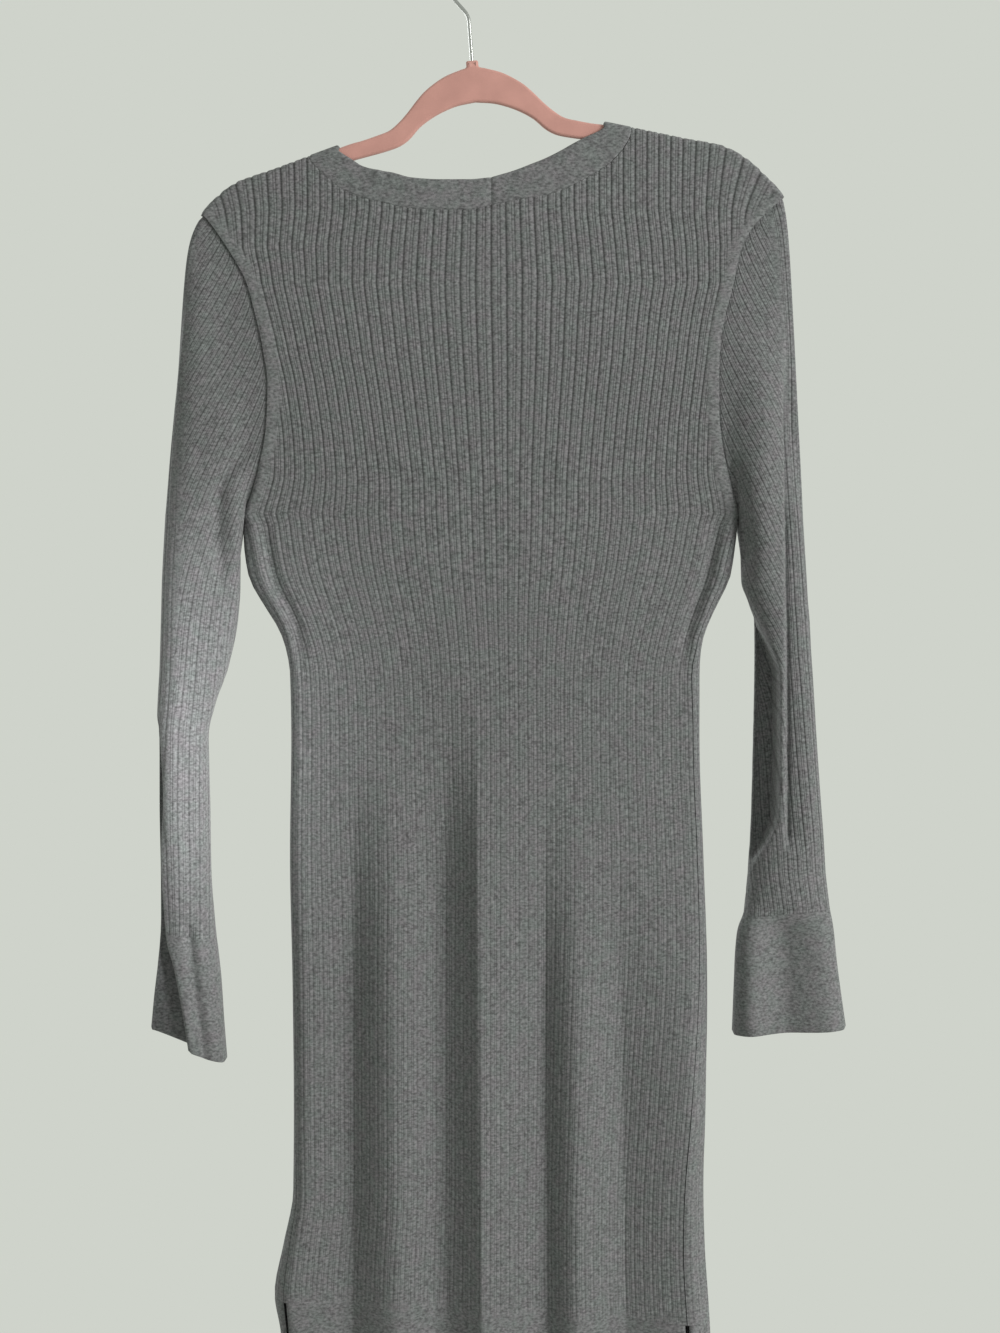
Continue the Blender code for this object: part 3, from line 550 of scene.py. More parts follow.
def chest(side, bottom):
    """Rows above the armpits: evenly to 12 mm below the top edge, and in 1 mm steps from there.
    The outer ribs lean in with the armholes, with the square of their share of the way out. A rib
    that meets the armhole ends there: its points are held at the armhole's edge."""
    main = np.concatenate((np.linspace(0, 1, EVEN_ROWS + 1)[1:], np.ones(FINE_ROWS)))[:, None]
    last = np.concatenate((np.zeros(EVEN_ROWS), np.arange(1, FINE_ROWS + 1)))[:, None]
    at_armpit = float(curve_at(ARMPIT, MIDDLE_LINE["height"], MIDDLE_LINE["across"]))
    start = bottom - at_armpit - from_middle(side, NUMBERS, ARMPIT)
    armpit_left, armpit_right = ARMHOLE_LEFT["across"][-1], ARMHOLE_RIGHT["across"][-1]
    way_out = np.abs(NUMBERS / RIBS_LEFT)
    x = np.tile(bottom, (len(main), 1))
    for _ in range(ROUNDS):
        z = ARMPIT + (panel_top(x, side) - FINE_ROWS - ARMPIT) * main + last
        left, right = armholes(z)
        left, right = left + ARMHOLE_GAP, right - ARMHOLE_GAP
        middle = curve_at(z, MIDDLE_LINE["height"], MIDDLE_LINE["across"])
        free = middle + from_middle(side, NUMBERS, z) + start * (1 - ease(0, 0.15, main))
        low = np.minimum(z, LEAN_TOP)
        low = low + (z - low) * way_out**6
        low_left, low_right = armholes(low)
        inward = np.where(NUMBERS < 0, low_left - armpit_left, low_right - armpit_right)
        free = free + LEAN * inward * way_out**2
        x = (x + np.clip(free, left, right)) / 2
    inside = np.minimum(x - left, right - x)
    half = depth(x, z, inside, BACK_FOLDS if side < 0 else FRONT_FOLDS)
    y, bent = bend_over(x, z, half + small_forms(x, z, side) * ease(2, 8, inside))
    return np.stack((x, side * y, bent), axis=-1), np.clip(inside, 0, None), (free > left) & (free < right)


def rows_below(side, numbers, high, low, count, slit):
    """Rows that follow the section, from a line of heights up to another. Each end of a row has
    its own height, and the points between pass evenly from one section to the other."""
    share = share_across(numbers)
    ladder = np.linspace(low, high, count)
    grid = []
    for heights in ladder:
        ends = []
        for height in (heights[0], heights[-1]):
            line, length = panel_section(height, side)
            middle = middle_length(line, length, height)
            at = rib_place(side, numbers, slit, middle, length[-1] - slit, height)
            ends.append(points_at(line.T, length, at))
        grid.append(ends[0] + (ends[1] - ends[0]) * share[:, None])
    return np.concatenate((np.array(grid), ladder[:, :, None]), axis=-1)


def panel(side):
    """The panel's middle surface, each point's distance from its side edge, and whether it is
    free of the armholes."""
    level, band = np.full_like(SHARE, ARMPIT), BAND_TOP - BAND_DROP * SHARE
    lower = rows_below(side, NUMBERS, level, band, LOWER_ROWS, SEAM_GAP)
    upper, inside, free = chest(side, lower[-1, :, 0])
    inside = np.concatenate((np.tile(np.minimum(SHARE, 1 - SHARE) * PANEL_WIDE, (LOWER_ROWS, 1)), inside))
    free = np.concatenate((np.ones((LOWER_ROWS, len(SHARE)), bool), free))
    return np.concatenate((lower, upper)), inside, free


def held_at_edge(values, free):
    """Give every point that is held at an armhole the value of the first free one's neighbour, so
    that they all stay together."""
    columns = np.arange(free.shape[1])
    first = np.maximum(np.argmax(free, axis=1) - 1, 0)
    last = np.minimum(free.shape[1] - np.argmax(free[:, ::-1], axis=1), free.shape[1] - 1)
    index = np.clip(columns[None], first[:, None], last[:, None])
    return values[np.arange(len(values))[:, None], index]


def panel_face(grid, inside, free, side):
    """The outer face: moved out by half the wall and the rib's relief. Along the armholes runs a
    smooth strip, the ribs are deepest on the stretched shoulders, and they end above the hem
    band."""
    z = grid[:, :, 2]
    armhole = ease(-462, -425, z)
    ribbed = (1 - armhole + armhole * ease(7, 12, inside)) * ease(0, 3, inside)
    ribbed = ribbed * ease(0, 6, z - (BAND_TOP - BAND_DROP * SHARE))
    deep = curve_at(z, (-1150, -700, -560, -440, -330, -150), (0.5, 0.5, 0.55, 0.75, 0.95, 1.0))
    strip = armhole * ease(0, 2.5, inside) * (1 - ease(7, 11, inside))
    out = WALL / 2 + 0.75 * deep * ribbed * rib_relief(NUMBERS) + 0.6 * strip
    # clear: how strongly the material draws the grooves, with bumps and painted shade in them, weaker down
    # the skirt.
    clear = ribbed * curve_at(z, (-1150, -760, -600, -470, -380, -150), (0.42, 0.42, 0.5, 0.68, 0.9, 1.0))
    moved = held_at_edge(outward(grid, False, -side) * out[:, :, None], free)
    return held_at_edge(grid, free) + moved, clear


panels = {side: panel(side) for side in (-1, 1)}
pieces = {}
for name, side in (("back_panel", -1), ("front_panel", 1)):
    grid, inside, free = panels[side]
    face, clear = panel_face(grid, inside, free, side)
    number = np.tile(NUMBERS, (len(grid), 1))
    course = length_along(grid[:, COURSE_COLUMN])[:, None]
    pieces[name] = cloth(name + "_knit", face, number, course, clear, -side, WALL)

# %% [markdown]
# ## Hem band
# The rib ends in a plain band. Front and back bands hang free of each other below the side seams,
# so each slit shows the edge of the layer behind.

# %% Hem bands


def edge_round(mm_in, radius):
    """How far a turned edge drops back, from its distance in: a quarter of a circle."""
    t = np.clip(mm_in / radius, 0, 1)
    return radius * (1 - np.sqrt(1 - (1 - t) ** 2))


def hem_band(name, side):
    """Rows from the bottom edge to where the rib ends. The bottom edge and the slits are turned,
    and a faint groove runs 22 mm above the bottom edge."""
    rows, numbers = 44, np.linspace(-RIBS_LEFT, RIBS_RIGHT, 240)
    share = share_across(numbers)
    top = BAND_TOP - BAND_DROP * share
    grid = rows_below(side, numbers, top - 0.1, top - HEM_BAND, rows, SLIT_GAP)
    from_slit = np.minimum(share, 1 - share)[None, :] * BAND_WIDE
    down = np.linspace(HEM_BAND, 0, rows)[:, None]
    out = PLAIN_WALL / 2 - 0.1 - edge_round(HEM_BAND - down, 1.6) - edge_round(from_slit, 1.4)
    out = out - 0.3 * bell(down, HEM_BAND - 22, 1.6)
    face = grid + outward(grid, False, -side) * out[:, :, None]
    return cloth(name + "_knit", face, np.tile(numbers, (rows, 1)), down, 0.0, -side, PLAIN_WALL)


for name, side in (("hem_band_back", -1), ("hem_band_front", 1)):
    pieces[name] = hem_band(name, side)

# %% [markdown]
# ## Neckband
# Each half of the band runs from the centre of the back, up over the hanger and down to the point
# of the V. It is a strip between two lines, and its long edges are rounded where the knit turns.
# The two halves meet in a small groove at both ends, and one pucker crosses the left half.

# %% Neckbands


def line_points(rows, line, count):
    """Points evenly along a line of a table."""
    x, z = rows[line + "_x"], rows[line + "_z"]
    length = length_along(np.stack((x, z), axis=-1))
    at = np.linspace(0, length[-1], count)
    return np.stack((curve_at(at, length, x), curve_at(at, length, z)), axis=-1)


def band_side(rows, side, count):
    """The seam line and the edge line of one side, from the top of the hanger to the centre, as
    flat places that are bent over the hanger afterwards."""
    lines = []
    for line in ("seam", "edge"):
        flat = line_points(rows, line, count)
        start = ridge(flat[0, 0]) - ROLL
        flat[:, 1] += (start - flat[0, 1]) * np.linspace(1, 0, count) ** 4
        up = np.linspace(ROLL_LENGTH, 0, 9)[:-1]
        flat = np.concatenate((np.stack((np.full(8, flat[0, 0]), start + up), axis=-1), flat))
        lines.append(flat)
    return lines


def neckband(name, back, front, turn):
    """Rows from the seam to the free edge: each row is a share of the way between the lines. The
    first one reaches a little way under the panel."""
    width, rows, tuck, column_wide = 24.0, 18, 0.02, 1.3
    share = (1 - np.cos(np.linspace(0, math.pi, rows))) / 2
    halves = []
    for table_rows, side, count in ((back, -1, 110), (front, 1, 150)):
        seam, edge = band_side(table_rows, side, count)
        seam = seam + (seam - edge) * tuck
        flat = seam + (edge - seam) * share[:, None, None]
        x, z = flat[:, :, 0], flat[:, :, 1]
        half = depth(x, z, np.full_like(x, HALF_WIDTH), BACK_FOLDS) + small_forms(x, z, side) * (z < -215)
        y, z = bend_over(x, z, half)
        halves.append(np.stack((x, side * y, z), axis=-1))
    grid = np.concatenate((halves[0][:, :0:-1], halves[1]), axis=1)
    grid[:, (0, -1), 0] = CENTRE
    mm_in = share * width
    out = PLAIN_WALL / 2 + 0.35 - edge_round(mm_in, 1.6) - edge_round(width - mm_in, 1.8)
    column = np.arange(grid.shape[1])
    from_end = np.minimum(column, column[::-1]) * column_wide
    out = out[:, None] - 0.9 * bell(from_end, 0, 1.5)
    x, z = grid[:, :, 0], grid[:, :, 2]
    pucker = 1.6 * bell(x, -67, 2.4) * bell(z, -178, 5) - 0.8 * bell(x, -61, 2.5) * bell(z, -180, 8)
    out = out + (grid[:, :, 1] < 0) * pucker
    face = grid + outward(grid, False, turn) * out[:, :, None]
    number = np.tile(length_along(grid[rows // 2]) / RIB, (rows, 1))
    return cloth(name + "_knit", face, number, mm_in[:, None], 0.0, turn, PLAIN_WALL)


pieces["neckband_left"] = neckband("neckband_left", NECK_BACK_LEFT, NECK_FRONT_LEFT, -1)
pieces["neckband_right"] = neckband("neckband_right", NECK_BACK_RIGHT, NECK_FRONT_RIGHT, 1)

# %% [markdown]
# ## Sleeves
# A sleeve is a knitted tube. Its head is sewn to the armhole, and the weight of the arm turns it
# down, so ribs leave the seam at a slant and end on a soft vertical crease near the outer edge.
# Below, rings give the tube's section. Each table row is one ring, with a place where the side
# on the left steps back behind the rest. The right sleeve's rings mirror the left one's, so its
# normals are turned the other way: turn is -outer, and outer is -1 on the left and 1 on the right.

# %% Sizes of the sleeves
SLEEVE_LEFT = table(
    "high_left high_right left right deep step sunk",
    (-440, -470, -226.5, -173.9, 18, -232, 0),
    (-492, -496, -229, -174.2, 20, -232, 0),
    (-517, -517, -229.5, -175.6, 21, -232, 0),
    (-554, -554, -230.5, -183, 22, -232, 0),
    (-586, -586, -233, -194, 22, -229, 0.2),
    (-611, -611, -235, -198.5, 23, -226.5, 0.8),
    (-658, -658, -235, -197.5, 23, -224.5, 1),
    (-715, -716, -234, -196.5, 23, -226.5, 0.9),
    (-758, -764, -233.8, -192.5, 22, -226, 0.9),
    (-782, -797, -235.5, -189, 22, -220, 1),
    (-808, -827, -238.5, -187, 23, -214, 1),
    (-835, -859, -241, -184.5, 24, -209, 1),
)
SLEEVE_RIGHT = table(
    "high_left high_right left right deep step sunk",
    (-470, -440, 212.9, 259.5, 18, 205, 0),
    (-490, -486, 213.6, 262, 20, 209, 0),
    (-506, -506, 219.5, 263, 21, 218, 0.4),
    (-520, -520, 223.5, 264, 22, 226, 1),
    (-543, -543, 223.8, 265, 22, 235, 1),
    (-566, -566, 223.6, 266.5, 22, 240, 1),
    (-615, -615, 222.6, 269.5, 22, 240, 1),
    (-665, -665, 221.3, 273, 22, 239, 1),
    (-684, -684, 220.5, 274.5, 21, 234, 1),
    (-700, -700, 219.4, 275.5, 20, 225, 0.8),
    (-712, -712, 218.6, 276.2, 19, 219, 0),
    (-747, -741, 215, 279.5, 18, 209, 0),
    (-776, -776, 209.3, 283.3, 16, 203, 0),
    (-838, -834, 206.3, 292, 14, 200, 0),
)
ROUND = 168  # columns round a sleeve, from the underarm by the back and home by the front
PARTS = (0.5 - np.arange(ROUND) / ROUND) % 1
HEAD_ROWS, RING_ROWS, CUFF_ROWS = 46, 104, 44

# %% Rings and sleeve heads


def ring(rows, at, outer):
    """Points of one ring: an oval whose ends are blunt, depth times sine to the power 0.8. Where
    the left is sunk, the near side steps back behind the rest."""
    index = np.arange(len(rows["left"]), dtype=float)
    row = {name: float(curve_at(at, index, column)) for name, column in rows.items()}
    angle = np.linspace(0, math.pi, 361)
    middle, half = (row["left"] + row["right"]) / 2, (row["right"] - row["left"]) / 2
    x = middle + outer * half * np.cos(angle)
    blunt = np.sin(angle) ** 0.8
    sunk = row["sunk"] * (1 - ease(row["step"] - 3, row["step"] + 1, x))
    near = -row["deep"] * blunt * (1 - sunk) + 5 * np.sin(angle) * sunk
    far = row["deep"] * blunt
    height = row["high_left"] + (x - row["left"]) / (2 * half) * (row["high_right"] - row["high_left"])
    points = np.empty((ROUND, 3))
    for line, mask, share in (
        (np.stack((x, near, height), axis=-1), PARTS <= 0.5, PARTS * 2),
        (np.stack((x, far, height), axis=-1)[::-1], PARTS > 0.5, PARTS * 2 - 1),
    ):
        length = length_along(line[:, :2])
        points[mask] = points_at(line, length, share[mask] * length[-1])
    return points


def armhole_loop(edge):
    """The armhole's seam along the panels' own edges, at the same shares of the way round."""
    back, front = (panels[side][0][LOWER_ROWS - 1 :, edge][::-1] for side in (-1, 1))
    points = np.empty((ROUND, 3))
    for line, mask, share in ((back, PARTS <= 0.5, PARTS * 2), (front, PARTS > 0.5, 2 - PARTS * 2)):
        length = length_along(line)
        points[mask] = points_at(line, length, share[mask] * length[-1])
    points[ROUND // 2, 1] = 0
    points[0, 1] = (back[-1, 1] + front[-1, 1]) / 2
    return points


def sleeve_rows(rows, edge, outer, jut, seam_row):
    """Middle surface: head rows pass from the armhole to the first ring, outwards faster than
    down, and rings follow. jut is the share of the way out that the head takes at once. The head
    starts 1.3 mm under the panels' edges, so that the seam is closed."""
    loop, first = armhole_loop(edge), ring(rows, 0, outer)
    near = np.where(PARTS <= 0.5, -1, 1) * np.abs(np.sin(2 * np.pi * PARTS))
    gap = 1.6 * ease(0.34, 0.48, np.minimum(PARTS, 1 - PARTS)) - 1.2
    start = loop + np.outer(gap, (outer, 0, 0))
    start[:, 1] *= 1 - 1.3 / np.maximum(np.abs(start[:, 1]), 2.6)
    grid = []
    for step in np.linspace(0, 1, HEAD_ROWS, endpoint=False) ** 1.5:
        out = jut * (1 - math.exp(-step / 0.06)) + (1 - jut) * step
        points = start + (first - start) * np.array((out, ease(0, 1, step), step))
        points[:, 1] += 5 * near * math.sin(math.pi * step)
        grid.append(points)
    for at in np.linspace(0, seam_row, RING_ROWS):
        grid.append(ring(rows, at, outer))
    return np.array(grid)


# %% [markdown]
# ## Creases of the sleeves
# Where the arm hangs, the tube is flattened and creased. A few lines from top to bottom give a
# hollow and a roll below the left armpit, and the rolls of both cuffs. A valley with one steep
# side gives the long crease of the right sleeve. The front gets milder ones of its own.

# %% Sleeve forms
# 0 along the two edges of the flattened tube, and 1 from a twenty-fifth of the way round
AWAY_FROM_EDGES = ease(0, 0.04, np.minimum(PARTS % 0.5, 0.5 - PARTS % 0.5))


def left_forms(x, z, near):
    """How far the left sleeve's creases stand out (plus) or go in (minus)."""
    back = creases(
        x, z,
        ((-392, -425, -455, -490), (-170, -187, -188, -183), -5.0, 6),
        ((-425, -455, -500), (-174, -176, -179), 2.4, 4),
        ((-260, -380, -520, -740), (-203, -213, -220, -222), 5.0, 15, 50),
        ((-560, -640, -735), (-206, -212, -205), -1.8, 6, 30),
        ((-752, -819, -862), (-210, -202, -195), -4.5, 4.2, 10),
    )
    front = creases(
        x, z,
        ((-400, -440, -480), (-186, -196, -192), -3, 7),
        ((-520, -600, -700), (-204, -208, -214), -2.5, 7, 30),
    )
    return np.where(near, back, front)


def right_forms(x, z, near):
    """How far the right sleeve's creases stand out (plus) or go in (minus)."""
    valley = ease(-700, -680, z) * (1 - ease(-380, -300, z))
    steep = -2.6 * bell(x, 245.5, 2.4) - 5.0 * ease(243, 246.5, x) * (1 - ease(246.5, 266, x))
    beside = 3.5 * bell(x, 228, 12) * ease(-560, -480, z)
    cuff_heights = (-748, -790, -850)
    back = valley * (steep + beside) + creases(
        x, z,
        ((-400, -440, -480), (205, 212, 216), -4.0, 6),
        (cuff_heights, (242, 244, 248), -5.5, 14, 14),
        (cuff_heights, (220, 219, 219), 7.5, 10, 14),
        (cuff_heights, (272, 276, 280), 3.0, 11, 14),
    )
    front = creases(
        x, z,
        ((-400, -460, -520), (222, 234, 240), -3, 7),
        ((-560, -640, -720), (250, 243, 250), -2.5, 7, 30),
    )
    return np.where(near, back, front)


# %% Rib numbers on a sleeve
SLANT = {
    "left": ((-640, -600, -540, -480, -440, -380, -330, -190), (0, 0.03, 0.08, 0.2, 0.36, 0.45, 0.48, 0.3)),
    "right": ((-640, -600, -560, -500, -440, -330, -240, -190), (0, 0.12, 0.4, 0.48, 0.46, 0.5, 0.42, 0.3)),
}
CREASE_LINE = {
    "left": ((-540, -440, -330, -265, -215, -190), (-218, -215, -213, -212, -204, -200)),
    "right": ((-700, -350, -300, -260, -200), (245.5, 245.5, 242.5, 240, 233)),
}


def sleeve_ribs(name, grid, outer):
    """Rib numbers, with one more column so that the map can be cut at the underarm. The width
    from the outer edge, over the rib's width, gives upright ribs: q, the share of the way out, is
    the mean of the flat share and of the share round a circle. Inside the crease, the running sum
    of the slant down the sleeve is added, which tilts them."""
    armhole = ARMHOLE_LEFT if outer < 0 else ARMHOLE_RIGHT
    z = np.concatenate((grid[:, :, 2], grid[:, :1, 2]), axis=1)
    x = np.concatenate((grid[:, :, 0], grid[:, :1, 0]), axis=1)
    inner_line, outer_line = grid[:, 0], grid[:, ROUND // 2]
    inner = np.interp(z, inner_line[::-1, 2], inner_line[::-1, 0])
    inner = np.where(z > ARMPIT, curve_at(z, armhole["height"], armhole["across"]), inner)
    outside = np.interp(z, outer_line[::-1, 2], outer_line[::-1, 0])
    wide = np.maximum(np.abs(outside - inner), 4)
    c = np.clip(outer * (x - (inner + outside) / 2) / (wide / 2), -1, 1)
    q = ((1 + c) / 2 + 1 - np.arccos(c) / math.pi) / 2
    heights = np.linspace(-900, -150, 751)
    lean = curve_at(heights, *SLANT[name])
    total = np.interp(z, heights, np.cumsum(lean))
    lean = np.interp(z, heights, lean)
    line = curve_at(z, *CREASE_LINE[name])
    within = outer * (x - line) < 0
    number = (wide * 1.3 * (q - 1) + within * total) / RIB
    sign = np.ones(ROUND + 1)
    sign[ROUND // 2 + 1 :] = -1
    slanted = within * lean
    fading = np.clip(total / 10, 0, 1) * bell(x, line, 3.2)
    return number * sign, slanted[:, :-1], fading[:, :-1], np.abs(x - inner)[:, :-1]


# %% Sleeves


def sleeve(name, rows, edge, outer, jut, seam_row):
    """Outer face of a sleeve: half the wall, its creases, and the ribs where they run upright.
    Slanting ribs are left to the material's bumps and painted groove shade, because the grid's rows would
    break them up."""
    grid = sleeve_rows(rows, edge, outer, jut, seam_row)
    number, slanted, fading, from_seam = sleeve_ribs(name, grid, outer)
    near = PARTS <= 0.5
    forms = left_forms if outer < 0 else right_forms
    x, z = grid[:, :, 0], grid[:, :, 2]
    row = np.arange(len(grid))[:, None]
    at_rim = np.minimum(row, row[::-1])
    out = WALL / 2 + forms(x, z, near) * ease(0, 12, row) * AWAY_FROM_EDGES
    from_start = np.linalg.norm(grid - grid[:1], axis=-1)
    out = out - 0.6 * bell(from_start, 1.2, 1.8)
    upright = np.clip(1 - slanted / 0.3, 0, 1) * (1 - fading)
    out = out + 0.4 * upright * rib_relief(number[:, :-1]) * ease(0, 3, at_rim)
    face = grid + outward(grid, True, -outer) * out[:, :, None]
    # clear sets the material's bumps and painted shade in the grooves: more near the seam, where slanting
    # ribs have no relief, and less along the crease.
    clear = (0.7 + 0.3 * np.exp(-from_seam / 28) * ease(-470, -380, z)) * (1 - 0.9 * fading)
    # The right sleeve's strip beyond its long crease gets deeper painted shade in its grooves.
    if outer > 0:
        clear = clear + 0.3 * ease(246, 250, x) * ease(-720, -690, z)
    down = np.concatenate((z, z[:, :1]), axis=1)
    return cloth(f"sleeve_{name}_knit", face, number, -down, clear, -outer, WALL, closed=True)


SEAM_ROW = {"left": 8, "right": 11}  # the row of a sleeve's table where its cuff starts
pieces["sleeve_left"] = sleeve("left", SLEEVE_LEFT, 0, -1, 0.45, SEAM_ROW["left"])
pieces["sleeve_right"] = sleeve("right", SLEEVE_RIGHT, -1, 1, 0.22, SEAM_ROW["right"])

# %% [markdown]
# ## Cuffs
# A plain cuff continues the sleeve. Its seam draws the tube in a little, and its edge is turned.

# %% Cuffs


def cuff(name, rows, outer, seam_row):
    """Rings from just below the sleeve's end to the cuff's own edge."""
    last = len(rows["left"]) - 1
    grid = np.array([ring(rows, at, outer) for at in np.linspace(seam_row, last, CUFF_ROWS)])
    grid[0, :, 2] -= 0.1
    forms = left_forms if outer < 0 else right_forms
    length = length_along(grid)
    out = WALL / 2 + forms(grid[:, :, 0], grid[:, :, 2], PARTS <= 0.5) * AWAY_FROM_EDGES
    out = out + 0.3 * ease(0, 8, length) - edge_round(length[-1] - length, 1.6)
    face = grid + outward(grid, True, -outer) * out[:, :, None]
    number = np.tile(np.arange(ROUND + 1) / 8.4, (CUFF_ROWS, 1))
    down = np.concatenate((length, length[:, :1]), axis=1)
    return cloth(f"cuff_{name}_knit", face, number, down, 0.0, -outer, PLAIN_WALL, closed=True)


pieces["cuff_left"] = cuff("left", SLEEVE_LEFT, -1, SEAM_ROW["left"])
pieces["cuff_right"] = cuff("right", SLEEVE_RIGHT, 1, SEAM_ROW["right"])

# %% [markdown]
# ## Hanger
# The board of the hanger is one outline, filled, thickened and rounded at its edges. Blender's
# curves do this well: the outline is a 2D curve with an extrusion and a bevel, made a mesh at the
# end so that it can be placed. Flocking, a coat of very short fibres, comes with its material.

# %% Hanger's outline
HUMP_TOP = table(
    "out down",
    (9, 6.3), (21, 10.3), (37, 20), (45, 27.7), (52.3, 36), (60, 43.5), (68, 49.2), (77, 52), (90, 55.4),
)
HUMP_BOTTOM = table(
    "out down",
    (0, 32), (13, 33.7), (25, 37.5), (35, 42.3), (44, 48.3), (53, 57.2), (61, 61.8), (72, 64.8), (84, 67.2),
)
ARM_TIP = table(
    "out down",
    (203, 94.5), (207.5, 100.5), (209, 105.5), (206.5, 109), (201, 107.5), (193, 99.5),
)


def hanger_outline():
    """One half of the outline: tab, hump, arm and rounded tip, then back underneath."""
    arm = SHOULDER["out"] < 200
    arm_out = SHOULDER["out"][arm]
    arm_top = SHOULDER["down"][arm] + WALL + CLOTH_REST + TIP_SLACK * ease(110, 185, arm_out)
    top = np.concatenate((HUMP_TOP["out"], arm_out)), np.concatenate((HUMP_TOP["down"], arm_top))
    under = (
        np.concatenate((HUMP_BOTTOM["out"], arm_out[:-1])),
        np.concatenate((HUMP_BOTTOM["down"], arm_top[:-1] + ARM_HIGH)),
    )
    top_out = np.linspace(HUMP_TOP["out"][0], arm_out[-1], 70)
    under_out = np.linspace(0, arm_out[-2], 60)[::-1]
    tip_at = np.linspace(0, len(ARM_TIP["out"]) - 1, 26)
    index = np.arange(len(ARM_TIP["out"]), dtype=float)
    tip = [curve_at(tip_at, index, ARM_TIP[name]) for name in ("out", "down")]
    out = np.concatenate(([0, TAB_HALF - 1, TAB_HALF, TAB_HALF, TAB_HALF + 1.2], top_out, tip[0], under_out))
    down = np.concatenate(([0, 0, 1, 4.6, 5.6], curve_at(top_out, *top), tip[1], curve_at(under_out, *under)))
    return out, down


def hanger_board():
    """The outline as a filled curve: extruded by half its thickness less the round of its edges,
    which the curve's bevel adds, drawn in by the same amount."""
    out, down = hanger_outline()
    x, z = from_hanger(np.concatenate((out, -out[-2:0:-1])), np.concatenate((down, down[-2:0:-1])))
    curve = bpy.data.curves.new("hanger_board", "CURVE")
    curve.dimensions, curve.fill_mode = "2D", "BOTH"
    curve.extrude = (HANGER_THICK / 2 - HANGER_EDGE) * MM
    curve.bevel_depth, curve.bevel_resolution, curve.offset = HANGER_EDGE * MM, 5, -HANGER_EDGE * MM
    spline = curve.splines.new("POLY")
    spline.points.add(len(x) - 1)
    spline.points.foreach_set("co", np.stack((x * MM, z * MM, 0 * x, 0 * x + 1), axis=-1).ravel())
    spline.use_cyclic_u = True
    flat = placed("hanger_board_curve", curve)
    bpy.context.view_layer.update()
    mesh = bpy.data.meshes.new_from_object(flat.evaluated_get(bpy.context.evaluated_depsgraph_get()))
    bpy.data.objects.remove(flat)
    points = np.empty(len(mesh.vertices) * 3)
    mesh.vertices.foreach_get("co", points)
    points = points.reshape(-1, 3)[:, (0, 2, 1)] * (1, -1, 1)
    mesh.vertices.foreach_set("co", points.ravel())
    merge_points(mesh, 1e-6, face_outward=True)
    mesh.name = "hanger_board"
    mesh.shade_smooth()
    print("hanger board faces:", len(mesh.polygons))
    return placed("hanger_board", mesh)


pieces["hanger_body"] = hanger_board()

# %% [markdown]
# ## Hook
# A steel wire stands in the hanger's neck, bends aside at a kink and curls over the rail. Circles
# are carried along its middle line. The line lies in one plane, so each circle is spanned by Y
# and by the line's own normal in that plane.

# %% Hook wire


def wire(name, x, z, radius):
    """Circles round a line in the XZ plane: centre + radius (cos a * normal + sin a * Y). Both
    ends are closed by a half ball of smaller circles."""
    sides, caps = 20, 5
    points = np.stack((x, z), axis=-1)
    ahead = np.gradient(points, axis=0)
    ahead /= np.linalg.norm(ahead, axis=1, keepdims=True)
    cap = np.linspace(0, math.pi / 2, caps + 1)[1:]
    before = points[0] - radius * np.outer(np.sin(cap), ahead[0])
    after = points[-1] + radius * np.outer(np.sin(cap), ahead[-1])
    centre = np.concatenate((before[::-1], points, after))
    size = radius * np.concatenate((np.cos(cap)[::-1], np.ones(len(points)), np.cos(cap)))
    size = np.maximum(size, 0.02)
    ahead = np.concatenate((np.tile(ahead[0], (caps, 1)), ahead, np.tile(ahead[-1], (caps, 1))))
    angle = np.arange(sides) * 2 * math.pi / sides
    normal = np.stack((-ahead[:, 1], ahead[:, 0]), axis=-1)[:, None] * np.cos(angle)[None, :, None]
    place = centre[:, None] + normal * size[:, None, None]
    y = size[:, None] * np.sin(angle)[None]
    grid = np.stack((place[:, :, 0], y, place[:, :, 1]), axis=-1)
    number = np.arange(grid.shape[0] * sides).reshape(-1, sides)
    right = np.roll(number, -1, axis=1)
    faces = np.stack((number[:-1], right[:-1], right[1:], number[1:]), axis=-1).reshape(-1, 4).tolist()
    ends = [number[0, ::-1].tolist(), number[-1].tolist()]
    mesh = bpy.data.meshes.new(name)
    mesh.from_pydata((grid.reshape(-1, 3) * MM).tolist(), [], faces + ends)
    merge_points(mesh, 1e-6, face_outward=True)
    mesh.shade_smooth()
    print(f"{name}: {length_along(points)[-1]:.0f} mm of wire")
    return placed(name, mesh)


rise, straight, bend = HOOK_RADIUS / math.sin(HOOK_LEAN), HOOK_RADIUS / math.tan(HOOK_LEAN), 5.0
turn = np.linspace(0, 1, 13)[:, None]
kink_in, corner = np.array((0, -(STEM - bend))), np.array((0, -STEM))
kink_out = np.array((-bend * math.sin(HOOK_LEAN), -(STEM + bend * math.cos(HOOK_LEAN))))
kink = (1 - turn) ** 2 * kink_in + 2 * turn * (1 - turn) * corner + turn**2 * kink_out
slant = np.linspace(bend + 2, straight, 8)[:, None] * (-math.sin(HOOK_LEAN), -math.cos(HOOK_LEAN)) + corner
angle = np.radians(np.linspace(180 + math.degrees(HOOK_LEAN), -18, 70))[1:]
arc = np.stack((HOOK_RADIUS * np.cos(angle), -(STEM + rise) - HOOK_RADIUS * np.sin(angle)), axis=-1)
stem = np.stack((np.zeros(8), np.linspace(STEM_SEAT - WIRE / 2, -(STEM - bend) + 2, 8)), axis=-1)
route = np.concatenate((stem, kink, slant, arc))
pieces["hanger_hook"] = wire("hook_wire", *from_hanger(route[:, 0], route[:, 1]), WIRE / 2)
